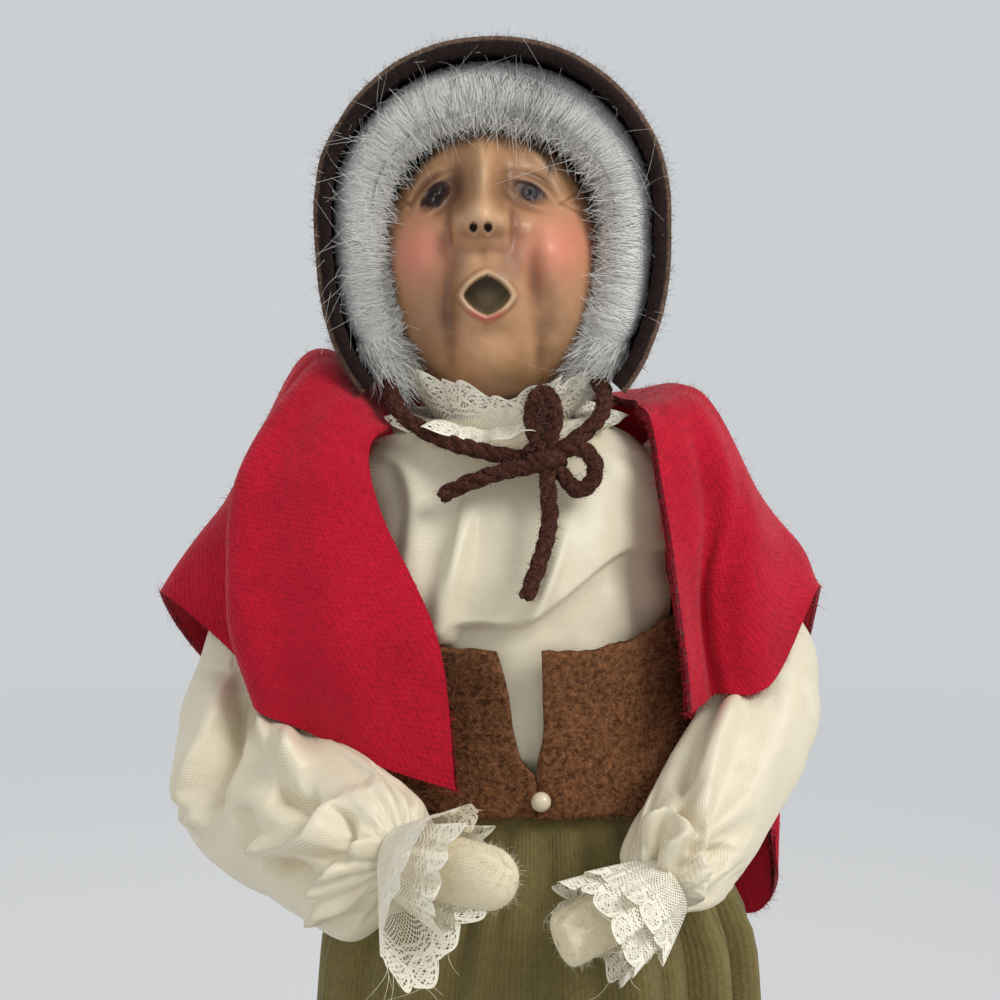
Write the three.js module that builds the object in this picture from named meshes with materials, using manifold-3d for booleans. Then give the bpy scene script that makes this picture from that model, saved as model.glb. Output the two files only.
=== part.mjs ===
// A caroler figurine: a singing old woman on a wire armature, dressed in cloth and felt.
// Sizes are in millimetres. Z is up, the figure faces -Y and its left hand is towards +X.
// The origin is the middle of the base's underside.
import * as THREE from "three";
import { mergeVertices } from "three/addons/utils/BufferGeometryUtils.js";
import Module from "manifold-3d";

const wasm = await Module();
wasm.setup();

// Fits
const CLEAR = 0.3; // gap between pieces that rest on each other
const RUNNING = 0.5; // gap where a limb turns in its seat

// Base and shoes
const BASE_HALF_LENGTH = 50;
const BASE_HALF_WIDTH = 43;
const BASE_THICKNESS = 9;
const BASE_ROUND = 2.2; // rounding of the base's upper edge
const SHOE_SPACING = 19; // middle to middle
const SHOE_LENGTH = 28;
const SHOE_WIDTH = 12;
const SHOE_HEIGHT = 9;
const SHOE_HEEL = 9; // how far the heel reaches behind the ankle
const ANKLE_Y = -14; // the ankles stand this far in front of the base's middle
const BOOT_HEIGHT = 20;
const BOOT_WALL = 1.6;

// Armature
const WIRE_RADIUS = 1.1;
const SPINE_RADIUS = 2.1; // two wires twisted together
const LEG_RADIUS = 4.6;
const LEG_TOP = 140;
const LEG_PADDING_TOP = 130;
const CROTCH_HEIGHT = 152;
const SPINE_TOP = 283; // the spine ends inside the head
const ARM_PADDING_RADIUS = 3.6;

// Padded body: height, sideways lean, half width, half depth
const CHEST_HEIGHT = 246;
const BODY_STATIONS = [
  [CROTCH_HEIGHT - 4, 0.8, 13, 11],
  [CROTCH_HEIGHT + 4, 0.8, 21, 17],
  [176, 0.8, 23.5, 19],
  [200, 1, 23, 18.4],
  [214, 0, 22.4, 18.2],
  [232, -2.6, 23.2, 19],
  [CHEST_HEIGHT, -4.2, 24, 18.6],
  [255, -5, 22, 15.5],
  [261, -5.4, 14.2, 11.5],
  [266.2, -6, 7, 7.5],
];
const BODY_SQUARENESS = 2.4; // 2 would be a plain oval

// Clothes on the body
const BLOUSE_THICKNESS = 1;
const BLOUSE_BOTTOM = 195;
const BLOUSE_TOP = 264.5;
const BLOUSE_POUCH = 3.2; // how far the cloth billows out above the waist
const SKIRT_TOP = 205;
const SKIRT_HEM = 12.5;
const SKIRT_THICKNESS = 1.3;
const SKIRT_HIP_WIDTH = 35.4; // half width below the gathers
const SKIRT_HIP_DEPTH = 31;
const SKIRT_HEM_WIDTH = 43;
const SKIRT_HEM_DEPTH = 37;
const SKIRT_FOLDS = 13;
const SKIRT_FOLD_DEPTH = 2.3;
const PETTICOAT_TOP = 192;
const PETTICOAT_HEM = 16;
const PETTICOAT_THICKNESS = 0.9;
const PETTICOAT_EASE = 5.5; // room between petticoat and skirt at the hem
const CINCHER_BOTTOM = SKIRT_TOP - 5.7;
const CINCHER_TOP = 227.2;
const CINCHER_THICKNESS = 1.8;
const CINCHER_NOTCH_WIDTH = 7.6; // the front opening at its top
const CINCHER_NOTCH_BOTTOM = CINCHER_BOTTOM + 7.2;
const CINCHER_NOTCH_X = 0.9; // the opening's straight side
const PIN_HEIGHT = CINCHER_BOTTOM + 3.3;
const PIN_X = 1.2;
const PIN_LENGTH = 13;
const PIN_RADIUS = 0.4;
const PEARL_RADIUS = 1.65;

// Head
const HEAD_CENTRE = new THREE.Vector3(-7, -1, 290.3);
const HEAD_HALF_WIDTH = 18.7;
const HEAD_HALF_DEPTH = 19;
const HEAD_HALF_HEIGHT = 23.3;
const MOUTH_WIDTH = 8.4;
const MOUTH_HEIGHT = 7.6;
const MOUTH_DEPTH = 8;
const MOUTH_X = -7.6;
const MOUTH_Z = 285.2;
const NOSTRIL_RADIUS = 0.75;
const NOSTRIL_DEPTH = 1.6;
const NOSTRIL_SPACING = 2.3;
const NOSE_X = -8.6;
const NOSE_Z = 298.4;

// Hair and bonnet
const BONNET_X = -6.65; // middle of the bonnet
const BONNET_Z = 297.4;
const RIM_HALF_WIDTH = 29.5;
const RIM_RISE = 30; // rim's height above the bonnet's middle
const RIM_DROP = 37; // half height of the curve that the rim's sides follow downwards
const RIM_POWER = 2.5; // squareness of the rim's lower part
const RIM_END = 2.38; // angle from the top at which the brim ends, in radians
const RIM_Y = -14;
const BRIM_BACK_Y = 4;
const BRIM_BACK_SCALE = 0.9;
const CROWN_DEPTH = 23;
const FELT_THICKNESS = 1.2;
const LINING_THICKNESS = 0.6;
const BINDING_RADIUS = 1.1;
const HAIR_DEPTH = 5;
const HAIR_Y = -9.5;
const HAIR_TOP = { radius: 5, inset: 8.8 }; // inset: from the rim's outline to the middle of the hair roll
const HAIR_SIDE = { radius: 4.3, inset: 7.6 };
const NAPE_HAIR_THICKNESS = 3.4;

// Lace collar
const COLLAR_X = -5;
const COLLAR_Y = -2.5;
const COLLAR_FRONT = 262.9; // height of the neckline at the throat
const COLLAR_BACK = 266; // and at the nape
const COLLAR_INNER = 11.7;
const COLLAR_OUTER = 17;
const COLLAR_STAND = 4.3; // how much higher the lace's outer edge stands
const COLLAR_WAVE = 1.3;
const COLLAR_WAVES = 9;
const LACE_THICKNESS = 0.9;

// Bonnet ties
const TIE_RADIUS = 1.35;
const KNOT = new THREE.Vector3(1.8, -21.5, 258.6);
const KNOT_RADIUS = 3.1;

// Arms: shoulder, elbow, wrist and finger tip
const RIGHT_SHOULDER = new THREE.Vector3(-33.8, 3, 261.5);
const RIGHT_ELBOW = new THREE.Vector3(-50.5, -6.5, 207.5);
const RIGHT_WRIST = new THREE.Vector3(-21.5, -41, 197);
const RIGHT_TIP = new THREE.Vector3(-3, -50, 195.4);
const LEFT_SHOULDER = new THREE.Vector3(26.3, 3, 256.5);
const LEFT_ELBOW = new THREE.Vector3(40.8, -5, 219);
const LEFT_WRIST = new THREE.Vector3(19.5, -40, 191.5);
const LEFT_TIP = new THREE.Vector3(3.5, -48, 185.6);
const RIGHT_SHOULDER_BALL = 9.4;
const LEFT_SHOULDER_BALL = 7.8;
const RIGHT_ELBOW_BALL = 11;
const LEFT_ELBOW_BALL = 9.6;

// Shawl
const SHAWL_THICKNESS = 1.5;

// Colours and finishes
const finish = (color, roughness) =>
  new THREE.MeshStandardMaterial({ color, roughness, metalness: 0 });
const steel = new THREE.MeshStandardMaterial({
  color: 0x8b8b8b,
  roughness: 0.4,
  metalness: 1,
});
const blackPaint = finish(0x1b1a19, 0.45);
const shoePaint = finish(0x141313, 0.35);
const wadding = finish(0xe9e4d8, 0.95);
const creamCloth = finish(0xe6dfc6, 0.6);
const whiteCotton = finish(0xf0ece0, 0.85);
const oliveCloth = finish(0x6b6746, 0.9);
const brownFelt = finish(0x74482b, 0.95);
const bonnetFelt = finish(0x46342a, 0.95);
const darkVelvet = finish(0x1d1716, 0.9);
const redWool = finish(0xb5121f, 0.9);
const lace = finish(0xece5d2, 0.8);
const jersey = finish(0xf1ead3, 0.9);
const paintedClay = finish(0xa3704a, 0.35);
const mohair = finish(0xcfccc0, 0.6);
const chenille = finish(0x41261b, 0.95);
const pearl = finish(0xefe0c0, 0.2);

const figure = new THREE.Group();

function add(name, geometry, material) {
  const mesh = new THREE.Mesh(geometry, material);
  mesh.name = name;
  figure.add(mesh);
}

// General shapes

const vec = (x, y, z) => new THREE.Vector3(x, y, z);
const mix = THREE.MathUtils.lerp;
const TAU = 2 * Math.PI;

// Goes smoothly from 0 at one place to 1 at another, whichever is higher.
function smooth(from, to, x) {
  const t = THREE.MathUtils.clamp((x - from) / (to - from), 0, 1);
  return t * t * (3 - 2 * t);
}

// A hump of height 1 at the middle that dies away over about the given widths.
function hump(dx, dz, width, height) {
  return Math.exp(-((dx / width) ** 2) - (dz / height) ** 2);
}

// A closed mesh from a list of points and quads; quads that collapse at a pole become triangles.
function closedMesh(points, quads) {
  const index = [];
  const same = (i, j) => points[i].distanceToSquared(points[j]) < 1e-8;
  const triangle = (a, b, c) => {
    if (!same(a, b) && !same(b, c) && !same(a, c)) index.push(a, b, c);
  };
  for (const [a, b, c, d] of quads) {
    triangle(a, b, c);
    triangle(a, c, d);
  }
  const six = (i) => points[index[i]].dot(vec().crossVectors(points[index[i + 1]], points[index[i + 2]]));
  let volume = 0;
  for (let i = 0; i < index.length; i += 3) volume += six(i);
  if (volume < 0) index.reverse();
  const geometry = new THREE.BufferGeometry().setFromPoints(points);
  geometry.setIndex(index);
  return geometry;
}

// Cloth between two surfaces, outer(u, v) and inner(u, v), with u and v from 0 to 1.
// round: u comes back to where it started, as round a body.
function clothBetween(outer, inner, uSteps, vSteps, round) {
  const columns = round ? uSteps : uSteps + 1;
  const points = [];
  const at = (side, i, j) => side * columns * (vSteps + 1) + j * columns + (i % columns);
  for (const surface of [outer, inner])
    for (let j = 0; j <= vSteps; j++)
      for (let i = 0; i < columns; i++) points.push(surface(i / uSteps, j / vSteps));
  const quads = [];
  for (let i = 0; i < uSteps; i++) {
    for (let j = 0; j < vSteps; j++) {
      quads.push([at(0, i, j), at(0, i + 1, j), at(0, i + 1, j + 1), at(0, i, j + 1)]);
      quads.push([at(1, i, j + 1), at(1, i + 1, j + 1), at(1, i + 1, j), at(1, i, j)]);
    }
    quads.push([at(1, i, 0), at(1, i + 1, 0), at(0, i + 1, 0), at(0, i, 0)]);
    quads.push([at(0, i, vSteps), at(0, i + 1, vSteps), at(1, i + 1, vSteps), at(1, i, vSteps)]);
  }
  if (!round)
    for (let j = 0; j < vSteps; j++) {
      quads.push([at(0, 0, j), at(0, 0, j + 1), at(1, 0, j + 1), at(1, 0, j)]);
      quads.push([at(1, uSteps, j), at(1, uSteps, j + 1), at(0, uSteps, j + 1), at(0, uSteps, j)]);
    }
  return closedMesh(points, quads);
}

// Cloth of an even thickness round a middle surface.
function clothSheet(surface, thickness, uSteps, vSteps, round) {
  const side = (sign) => (u, v) => {
    const step = 1e-3;
    const [u0, u1] = round ? [u - step, u + step] : [Math.max(0, u - step), Math.min(1, u + step)];
    const [v0, v1] = [Math.max(0, v - step), Math.min(1, v + step)];
    const along = surface(u1, v).sub(surface(u0, v));
    const across = surface(u, v1).sub(surface(u, v0));
    const normal = along.cross(across).normalize();
    return surface(u, v).addScaledVector(normal, (sign * thickness) / 2);
  };
  return clothBetween(side(1), side(-1), uSteps, vSteps, round);
}

// A solid skinned over rings of points, with both ends closed by a fan.
function skinned(rings) {
  const count = rings[0].length;
  const points = rings.flat();
  const quads = [];
  for (let r = 0; r + 1 < rings.length; r++)
    for (let i = 0; i < count; i++) {
      const j = (i + 1) % count;
      quads.push([r * count + i, r * count + j, (r + 1) * count + j, (r + 1) * count + i]);
    }
  for (const [ring, turned] of [[0, true], [rings.length - 1, false]]) {
    const middle = rings[ring].reduce((sum, p) => sum.add(p), vec(0, 0, 0)).divideScalar(count);
    points.push(middle);
    const m = points.length - 1;
    for (let i = 0; i < count; i++) {
      const [a, b] = [ring * count + i, ring * count + ((i + 1) % count)];
      quads.push(turned ? [m, b, a, a] : [m, a, b, b]);
    }
  }
  return closedMesh(points, quads);
}

// Points round a limb's axis: start + along * distance, at radius(distance, angle) from it.
function limb(start, end, distances, sides, radius) {
  const along = end.clone().sub(start).normalize();
  const side = vec(0, 0, 1).cross(along).normalize();
  const up = along.clone().cross(side);
  return skinned(
    distances.map((d) =>
      Array.from({ length: sides }, (_, i) => {
        const angle = (TAU * i) / sides;
        const r = radius(d, angle);
        return start
          .clone()
          .addScaledVector(along, d)
          .addScaledVector(side, r * Math.cos(angle))
          .addScaledVector(up, r * Math.sin(angle));
      }),
    ),
  );
}

const steps = (from, to, count) => Array.from({ length: count + 1 }, (_, i) => mix(from, to, i / count));

// A round rod along a smooth curve through the points.
function rod(points, radius, stepCount, sides = 8) {
  const section = new THREE.Shape().absarc(0, 0, radius, 0, TAU);
  const path = points.length === 2 ? new THREE.LineCurve3(...points) : new THREE.CatmullRomCurve3(points);
  return new THREE.ExtrudeGeometry(section, {
    steps: stepCount,
    curveSegments: sides / 2,
    bevelEnabled: false,
    extrudePath: path,
  });
}

function ball(centre, radius) {
  return new THREE.SphereGeometry(radius, 14, 10).translate(centre.x, centre.y, centre.z);
}

// Values that change smoothly between rows of [place, value, value, ...].
function smoothRows(rows) {
  const curves = rows[0].slice(1).map((_, k) => {
    const value = (i) => rows[THREE.MathUtils.clamp(i, 0, rows.length - 1)][k + 1];
    const place = (i) => rows[THREE.MathUtils.clamp(i, 0, rows.length - 1)][0];
    const slope = (i) => (value(i + 1) - value(i - 1)) / Math.max(place(i + 1) - place(i - 1), 1e-9);
    return (x) => {
      let i = 0;
      while (i < rows.length - 2 && x > rows[i + 1][0]) i++;
      const span = place(i + 1) - place(i);
      const t = THREE.MathUtils.clamp((x - place(i)) / span, 0, 1);
      const [h1, h2] = [t * t * (3 - 2 * t), t * (1 - t) * (1 - t)];
      const bend = span * (slope(i) * h2 - slope(i + 1) * t * t * (1 - t));
      return value(i) * (1 - h1) + value(i + 1) * h1 + bend;
    };
  });
  return (x) => curves.map((c) => c(x));
}

// Joins and cuts

function solid(geometry) {
  const bare = geometry.clone();
  bare.deleteAttribute("normal");
  bare.deleteAttribute("uv");
  const merged = mergeVertices(bare, 1e-4);
  const mesh = new wasm.Mesh({
    numProp: 3,
    vertProperties: new Float32Array(merged.attributes.position.array),
    triVerts: new Uint32Array(merged.index.array),
  });
  mesh.merge();
  return new wasm.Manifold(mesh);
}

function geometryOf(made) {
  const mesh = made.getMesh();
  const geometry = new THREE.BufferGeometry();
  geometry.setAttribute("position", new THREE.BufferAttribute(new Float32Array(mesh.vertProperties), 3));
  geometry.setIndex(new THREE.BufferAttribute(new Uint32Array(mesh.triVerts), 1));
  return geometry;
}

const cut = (geometry, ...tools) =>
  geometryOf(tools.reduce((left, tool) => left.subtract(solid(tool)), solid(geometry)));
const join = (geometry, ...others) =>
  geometryOf(others.reduce((sum, other) => sum.add(solid(other)), solid(geometry)));

// Base

function base() {
  const [long, wide] = [BASE_HALF_LENGTH - BASE_ROUND, BASE_HALF_WIDTH - BASE_ROUND];
  const outline = new THREE.Shape().absellipse(0, 0, long, wide, 0, TAU);
  const board = new THREE.ExtrudeGeometry(outline, {
    depth: BASE_THICKNESS - 2 * BASE_ROUND,
    bevelThickness: BASE_ROUND,
    bevelSize: BASE_ROUND,
    bevelSegments: 2,
    curveSegments: 18,
  });
  return board.translate(0, 0, BASE_ROUND);
}

// Shoes and legs

const legX = (side) => (side * SHOE_SPACING) / 2;
const bootBore = LEG_RADIUS + CLEAR;
const bootRadius = bootBore + BOOT_WALL;
const legBottom = BASE_THICKNESS + SHOE_HEIGHT + CLEAR;

// A rounded toe and a flat sole, with a boot shaft bored for the leg and its wire.
function shoe(side) {
  const heelY = ANKLE_Y + SHOE_HEEL;
  const foot = skinned(
    steps(0, 1, 10).map((s) => {
      const toe = Math.sqrt(Math.max(0.02, 1 - Math.max(0, (s - 0.62) / 0.38) ** 2.4));
      const heel = Math.sqrt(Math.max(0.1, 1 - Math.max(0, (0.2 - s) / 0.2) ** 2));
      const half = (SHOE_WIDTH / 2) * toe * heel * (1 - 0.16 * hump(s - 0.36, 0, 0.16, 1));
      const height = SHOE_HEIGHT * mix(1, 0.74, smooth(0.4, 0.9, s)) * Math.sqrt(toe);
      return steps(0, 11, 11).map((k) => {
        const angle = (TAU * k) / 12;
        const z = BASE_THICKNESS + CLEAR + height * Math.max(0, Math.sin(angle)) ** 0.7;
        return vec(legX(side) + half * Math.cos(angle), heelY - s * SHOE_LENGTH, z);
      });
    }),
  );
  const tube = (radius, from, to) =>
    rod([vec(legX(side), ANKLE_Y, from), vec(legX(side), ANKLE_Y, to)], radius, 1, 12);
  const floor = BASE_THICKNESS + CLEAR;
  const shaft = tube(bootRadius, floor + 1, floor + BOOT_HEIGHT);
  const legHole = tube(bootBore, legBottom - CLEAR, floor + BOOT_HEIGHT + 1);
  const wireHole = tube(WIRE_RADIUS + CLEAR, floor + 1.5, legBottom);
  return cut(join(foot, shaft), legHole, wireHole);
}

function legPadding(side) {
  const [inner, outer] = [WIRE_RADIUS + CLEAR, LEG_RADIUS];
  const profile = [
    [inner, legBottom],
    [outer, legBottom],
    [outer, LEG_PADDING_TOP],
    [inner, LEG_PADDING_TOP],
    [inner, legBottom],
  ].map(([r, z]) => new THREE.Vector2(r, z));
  return new THREE.LatheGeometry(profile, 12).rotateX(Math.PI / 2).translate(legX(side), ANKLE_Y, 0);
}

// Armature

const body = smoothRows(BODY_STATIONS);
const bodyBottom = BODY_STATIONS[0][0];
const bodyTop = BODY_STATIONS[BODY_STATIONS.length - 1][0];
const crotch = vec(0, -4, CROTCH_HEIGHT);
const spinePoints = [
  crotch,
  vec(body(176)[0], -1, 176),
  vec(body(214)[0], 0, 214),
  vec(body(CHEST_HEIGHT)[0], 0, CHEST_HEIGHT),
  vec(HEAD_CENTRE.x, 0, bodyTop),
  vec(HEAD_CENTRE.x, HEAD_CENTRE.y, SPINE_TOP),
];

function legWire(side, radius) {
  const points = [
    vec(legX(side), ANKLE_Y, BASE_THICKNESS + CLEAR + 1.5 + CLEAR),
    vec(legX(side), ANKLE_Y, LEG_TOP - 12),
    vec(legX(side), ANKLE_Y, LEG_TOP),
    vec(legX(side) * 0.35, mix(ANKLE_Y, crotch.y, 0.75), CROTCH_HEIGHT - 3),
    crotch.clone().add(vec(0, 0.4, 5)),
  ];
  return rod(points, radius, 14, 6);
}

const armatureWire = () =>
  join(rod(spinePoints, SPINE_RADIUS, 12, 8), legWire(-1, WIRE_RADIUS), legWire(1, WIRE_RADIUS));

const towards = (from, to, distance) =>
  from.clone().addScaledVector(to.clone().sub(from).normalize(), distance);
const yokeMiddle = vec(body(257)[0], SPINE_RADIUS + WIRE_RADIUS + CLEAR + 0.6, 257);
const yokePoints = (reach) => [
  towards(RIGHT_SHOULDER, yokeMiddle, RIGHT_SHOULDER_BALL + reach),
  towards(RIGHT_SHOULDER, yokeMiddle, RIGHT_SHOULDER_BALL + 6),
  yokeMiddle,
  towards(LEFT_SHOULDER, yokeMiddle, LEFT_SHOULDER_BALL + 6),
  towards(LEFT_SHOULDER, yokeMiddle, LEFT_SHOULDER_BALL + reach),
];

// Body layers: a point on the padding's skin, moved out by an offset

// angle 0 is the figure's left side and the front is at -90 degrees
function oval(angle, x, halfWidth, halfDepth, z) {
  const fuller = (s) => Math.sign(s) * Math.abs(s) ** (2 / BODY_SQUARENESS);
  return vec(x + halfWidth * fuller(Math.cos(angle)), halfDepth * fuller(Math.sin(angle)), z);
}

function aroundBody(angle, z, offset) {
  const [x, halfWidth, halfDepth] = body(z);
  return oval(angle, x, halfWidth + offset, halfDepth + offset, z);
}

// The hollow that the top of a sleeve sits and turns in.
const shoulderRoom = (extra) => [
  ball(RIGHT_SHOULDER, RIGHT_SHOULDER_BALL + extra),
  rod([RIGHT_SHOULDER, towards(RIGHT_SHOULDER, RIGHT_ELBOW, 25)], RIGHT_SHOULDER_BALL + extra, 1, 12),
  ball(LEFT_SHOULDER, LEFT_SHOULDER_BALL + extra),
  rod([LEFT_SHOULDER, towards(LEFT_SHOULDER, LEFT_ELBOW, 25)], LEFT_SHOULDER_BALL + extra, 1, 12),
];

function pinHole() {
  const inner = pinStart().add(vec(0, PIN_LENGTH + CLEAR, 0));
  return rod([vec(PIN_X, -60, PIN_HEIGHT), inner], PIN_RADIUS + CLEAR, 1, 6);
}

function bodyPadding() {
  const hips = [0, 0.085, 0.19, 0.64, 0.85].map((share) => mix(bodyBottom, BLOUSE_BOTTOM, share));
  const rows = [...hips, ...BLOUSE_ROWS, bodyTop];
  const rings = rows.map((z) => steps(0, 13, 13).map((i) => aroundBody((TAU * i) / 14, z, 0)));
  return cut(
    skinned(rings),
    rod(spinePoints, SPINE_RADIUS + 2 * CLEAR, 12, 8),
    legWire(-1, WIRE_RADIUS + 2 * CLEAR),
    legWire(1, WIRE_RADIUS + 2 * CLEAR),
    rod(yokePoints(0), WIRE_RADIUS + CLEAR, 12, 6),
    ...shoulderRoom(BLOUSE_THICKNESS + 2 * CLEAR + RUNNING),
    pinHole(),
  );
}

// Where the blouse billows: soft folds on the chest and a pouch above the waist.
function blouseEase(angle, z) {
  const front = Math.max(0, -Math.sin(angle)) ** 1.5;
  const above = smooth(CINCHER_TOP - 0.5, CINCHER_TOP + 4, z);
  const pouch = BLOUSE_POUCH * smooth(CHEST_HEIGHT + 10, CHEST_HEIGHT - 10, z) * front;
  const unstretched = smooth(BLOUSE_TOP - 2.5, BLOUSE_TOP - 16.5, z);
  const folds = 0.8 * front * (1 + Math.sin(7 * angle + 0.05 * z)) * unstretched;
  const belowChest = smooth(CHEST_HEIGHT + 6, CHEST_HEIGHT - 10, z);
  const overSkirt = (SKIRT_THICKNESS + CLEAR) * smooth(SKIRT_TOP + 0.3, SKIRT_TOP + 4, z) * belowChest;
  return BLOUSE_THICKNESS + (pouch + folds) * above + overSkirt * mix(0.4, 1, front);
}

const BLOUSE_ROWS = [
  BLOUSE_BOTTOM, SKIRT_TOP + 0.3, SKIRT_TOP + 5, CINCHER_TOP - 9.2, CINCHER_TOP - 0.5, CINCHER_TOP + 4.3,
  CINCHER_TOP + 10.8, BLOUSE_TOP - 18.5, BLOUSE_TOP - 10.5, BLOUSE_TOP - 4.5, BLOUSE_TOP,
];

function blouse() {
  const z = (v) => BLOUSE_ROWS[Math.round(v * (BLOUSE_ROWS.length - 1))];
  const shell = clothBetween(
    (u, v) => aroundBody(TAU * u, z(v), CLEAR + blouseEase(TAU * u, z(v))),
    (u, v) => aroundBody(TAU * u, z(v), CLEAR),
    28,
    BLOUSE_ROWS.length - 1,
    true,
  );
  return cut(
    shell,
    ...shoulderRoom(RUNNING),
    rod(yokePoints(0), WIRE_RADIUS + CLEAR, 12, 6),
    pinHole(),
  );
}

// Skirt and petticoat

const skirtInner = CLEAR + BLOUSE_THICKNESS + CLEAR;
const skirtSwell = smoothRows([
  [0, SKIRT_HEM_WIDTH, SKIRT_HEM_DEPTH],
  [0.45, mix(SKIRT_HEM_WIDTH, SKIRT_HIP_WIDTH, 0.5), mix(SKIRT_HEM_DEPTH, SKIRT_HIP_DEPTH, 0.5)],
  [0.8, SKIRT_HIP_WIDTH, SKIRT_HIP_DEPTH],
  [0.92, SKIRT_HIP_WIDTH * 0.9, SKIRT_HIP_DEPTH * 0.88],
]);

// A point on the skirt: it hugs the waist at the top and swings out in folds below.
// offset moves it outwards; fold scales the folds.
function onSkirt(angle, height, offset, fold) {
  const share = (height - SKIRT_HEM) / (SKIRT_TOP - SKIRT_HEM);
  const [width, depth] = skirtSwell(Math.min(share, 0.92));
  const hips = smooth(0.965, 0.84, share);
  const [x, waistWidth, waistDepth] = body(Math.max(height, SKIRT_TOP - 6));
  const wave = Math.sin(SKIRT_FOLDS * angle + 0.9 * Math.sin(2 * angle + 0.6));
  const depthOfFold = SKIRT_FOLD_DEPTH * fold * mix(1, 0.55, share) * hips * wave;
  const gathers = 0.45 * fold * Math.sin(3 * SKIRT_FOLDS * angle) * smooth(0.75, 0.9, share) * hips;
  const a = mix(waistWidth + skirtInner, width, hips) + offset + depthOfFold + gathers;
  const b = mix(waistDepth + skirtInner, depth, hips) + offset + depthOfFold + gathers;
  return oval(angle, x * smooth(0, 0.6, share), a, b, height);
}

const SKIRT_ROWS = [0, 0.25, 0.5, 0.72, 0.84, 0.9, 0.965, 1];

function skirt() {
  const z = (v) => mix(SKIRT_HEM, SKIRT_TOP, SKIRT_ROWS[Math.round(v * (SKIRT_ROWS.length - 1))]);
  const shell = clothBetween(
    (u, v) => onSkirt(TAU * u, z(v), SKIRT_THICKNESS, 1),
    (u, v) => onSkirt(TAU * u, z(v), 0, 1),
    52,
    SKIRT_ROWS.length - 1,
    true,
  );
  return cut(shell, pinHole());
}

function petticoat() {
  const z = (v) => mix(PETTICOAT_HEM, PETTICOAT_TOP, v);
  const drop = (v) => mix(PETTICOAT_EASE, SKIRT_FOLD_DEPTH + 1.6, v);
  const at = (u, v, extra) => {
    const p = onSkirt(TAU * u, z(v), -drop(v) - extra, 0);
    const shin = aroundBody(TAU * u, Math.max(z(v), bodyBottom + 8), CLEAR + PETTICOAT_THICKNESS - extra);
    const held = smooth(PETTICOAT_TOP - 22, PETTICOAT_TOP - 4, z(v));
    return p.lerp(vec(shin.x, shin.y, p.z), held);
  };
  return clothBetween((u, v) => at(u, v, 0), (u, v) => at(u, v, PETTICOAT_THICKNESS), 24, 5, true);
}

// Waist cincher and its pin

const cincherInner = skirtInner + SKIRT_THICKNESS + CLEAR;
const pinFront = body(PIN_HEIGHT)[2] + cincherInner + CINCHER_THICKNESS;
const pinStart = () => vec(PIN_X, -pinFront - PEARL_RADIUS, PIN_HEIGHT);

function cincher() {
  const z = (v) => mix(CINCHER_BOTTOM, CINCHER_TOP, v);
  const room = (v) => cincherInner + 1.1 * smooth(CINCHER_TOP - 9, CINCHER_TOP, z(v));
  const band = clothBetween(
    (u, v) => aroundBody(TAU * u, z(v), room(v) + CINCHER_THICKNESS),
    (u, v) => aroundBody(TAU * u, z(v), room(v)),
    32,
    2,
    true,
  );
  const notch = new THREE.Shape();
  notch.moveTo(CINCHER_NOTCH_X, CINCHER_NOTCH_BOTTOM);
  notch.lineTo(CINCHER_NOTCH_X, CINCHER_TOP + 2);
  notch.lineTo(CINCHER_NOTCH_X - CINCHER_NOTCH_WIDTH, CINCHER_TOP + 2);
  const notchMiddle = mix(CINCHER_NOTCH_BOTTOM, CINCHER_TOP + 2, 0.42);
  notch.quadraticCurveTo(CINCHER_NOTCH_X - 4, notchMiddle, CINCHER_NOTCH_X - 1, CINCHER_NOTCH_BOTTOM);
  const wedgeForm = { depth: 40, bevelEnabled: false, curveSegments: 5 };
  const wedge = new THREE.ExtrudeGeometry(notch, wedgeForm);
  wedge.rotateX(Math.PI / 2);
  return cut(band, wedge, pinHole());
}

function pearlHead() {
  const centre = vec(PIN_X, -pinFront - CLEAR - PEARL_RADIUS, PIN_HEIGHT);
  const hole = rod([centre, centre.clone().add(vec(0, 2 * PEARL_RADIUS, 0))], PIN_RADIUS + CLEAR, 1, 6);
  return cut(ball(centre, PEARL_RADIUS), hole);
}

function pinShaft() {
  return rod([pinStart(), pinStart().add(vec(0, PIN_LENGTH, 0))], PIN_RADIUS, 1, 6);
}

// Head: an egg with the face raised on its front

// How far the face stands out in front of the egg at a place seen from the front.
function faceRelief(x, z) {
  const dx = x - NOSE_X;
  const cheeks = 3.3 * hump(x + 18, z - 291.3, 5.2, 5) + 3.7 * hump(x - 3.2, z - 291.8, 6.2, 5.4);
  const bridge = 2.8 * hump(dx - 0.3, z - 306.5, 2.4, 6);
  const nose = 7 * hump(dx, z - NOSE_Z - 0.3, 3, 3.2) + 2.6 * hump(dx, z - NOSE_Z + 1.2, 5, 2.3);
  const brow = (bx, bz, fall) => 1.9 * hump(x - bx, z - bz + fall * (x - bx), 4.6, 2.1);
  const brows = brow(-17.2, 308.2, -0.8) + brow(0.6, 309.2, 0.8);
  const sockets = -3.1 * hump(x + 15.9, z - 301.6, 3.9, 3) - 3.1 * hump(x + 1.1, z - 302.2, 3.9, 3);
  const lips = 2.6 * hump(x - MOUTH_X, z - MOUTH_Z, 7, 7.2);
  const chin = 3 * hump(x + 7, z - 273.2, 5.4, 4.2);
  const jowls = 1.5 * hump(x + 18, z - 279.5, 4, 6) + 1.5 * hump(x - 4.2, z - 279.5, 4, 6);
  const folds = -1.6 * hump(x + 13.7, z - 287, 1.5, 7) - 1.6 * hump(x, z - 288, 1.5, 7);
  const jawLines = -1.1 * hump(x + 13.5, z - 277, 1.3, 4.5) - 1.1 * hump(x - 1.1, z - 276, 1.3, 4.5);
  return cheeks + bridge + nose + brows + sockets + lips + chin + jowls + folds + jawLines;
}

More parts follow.
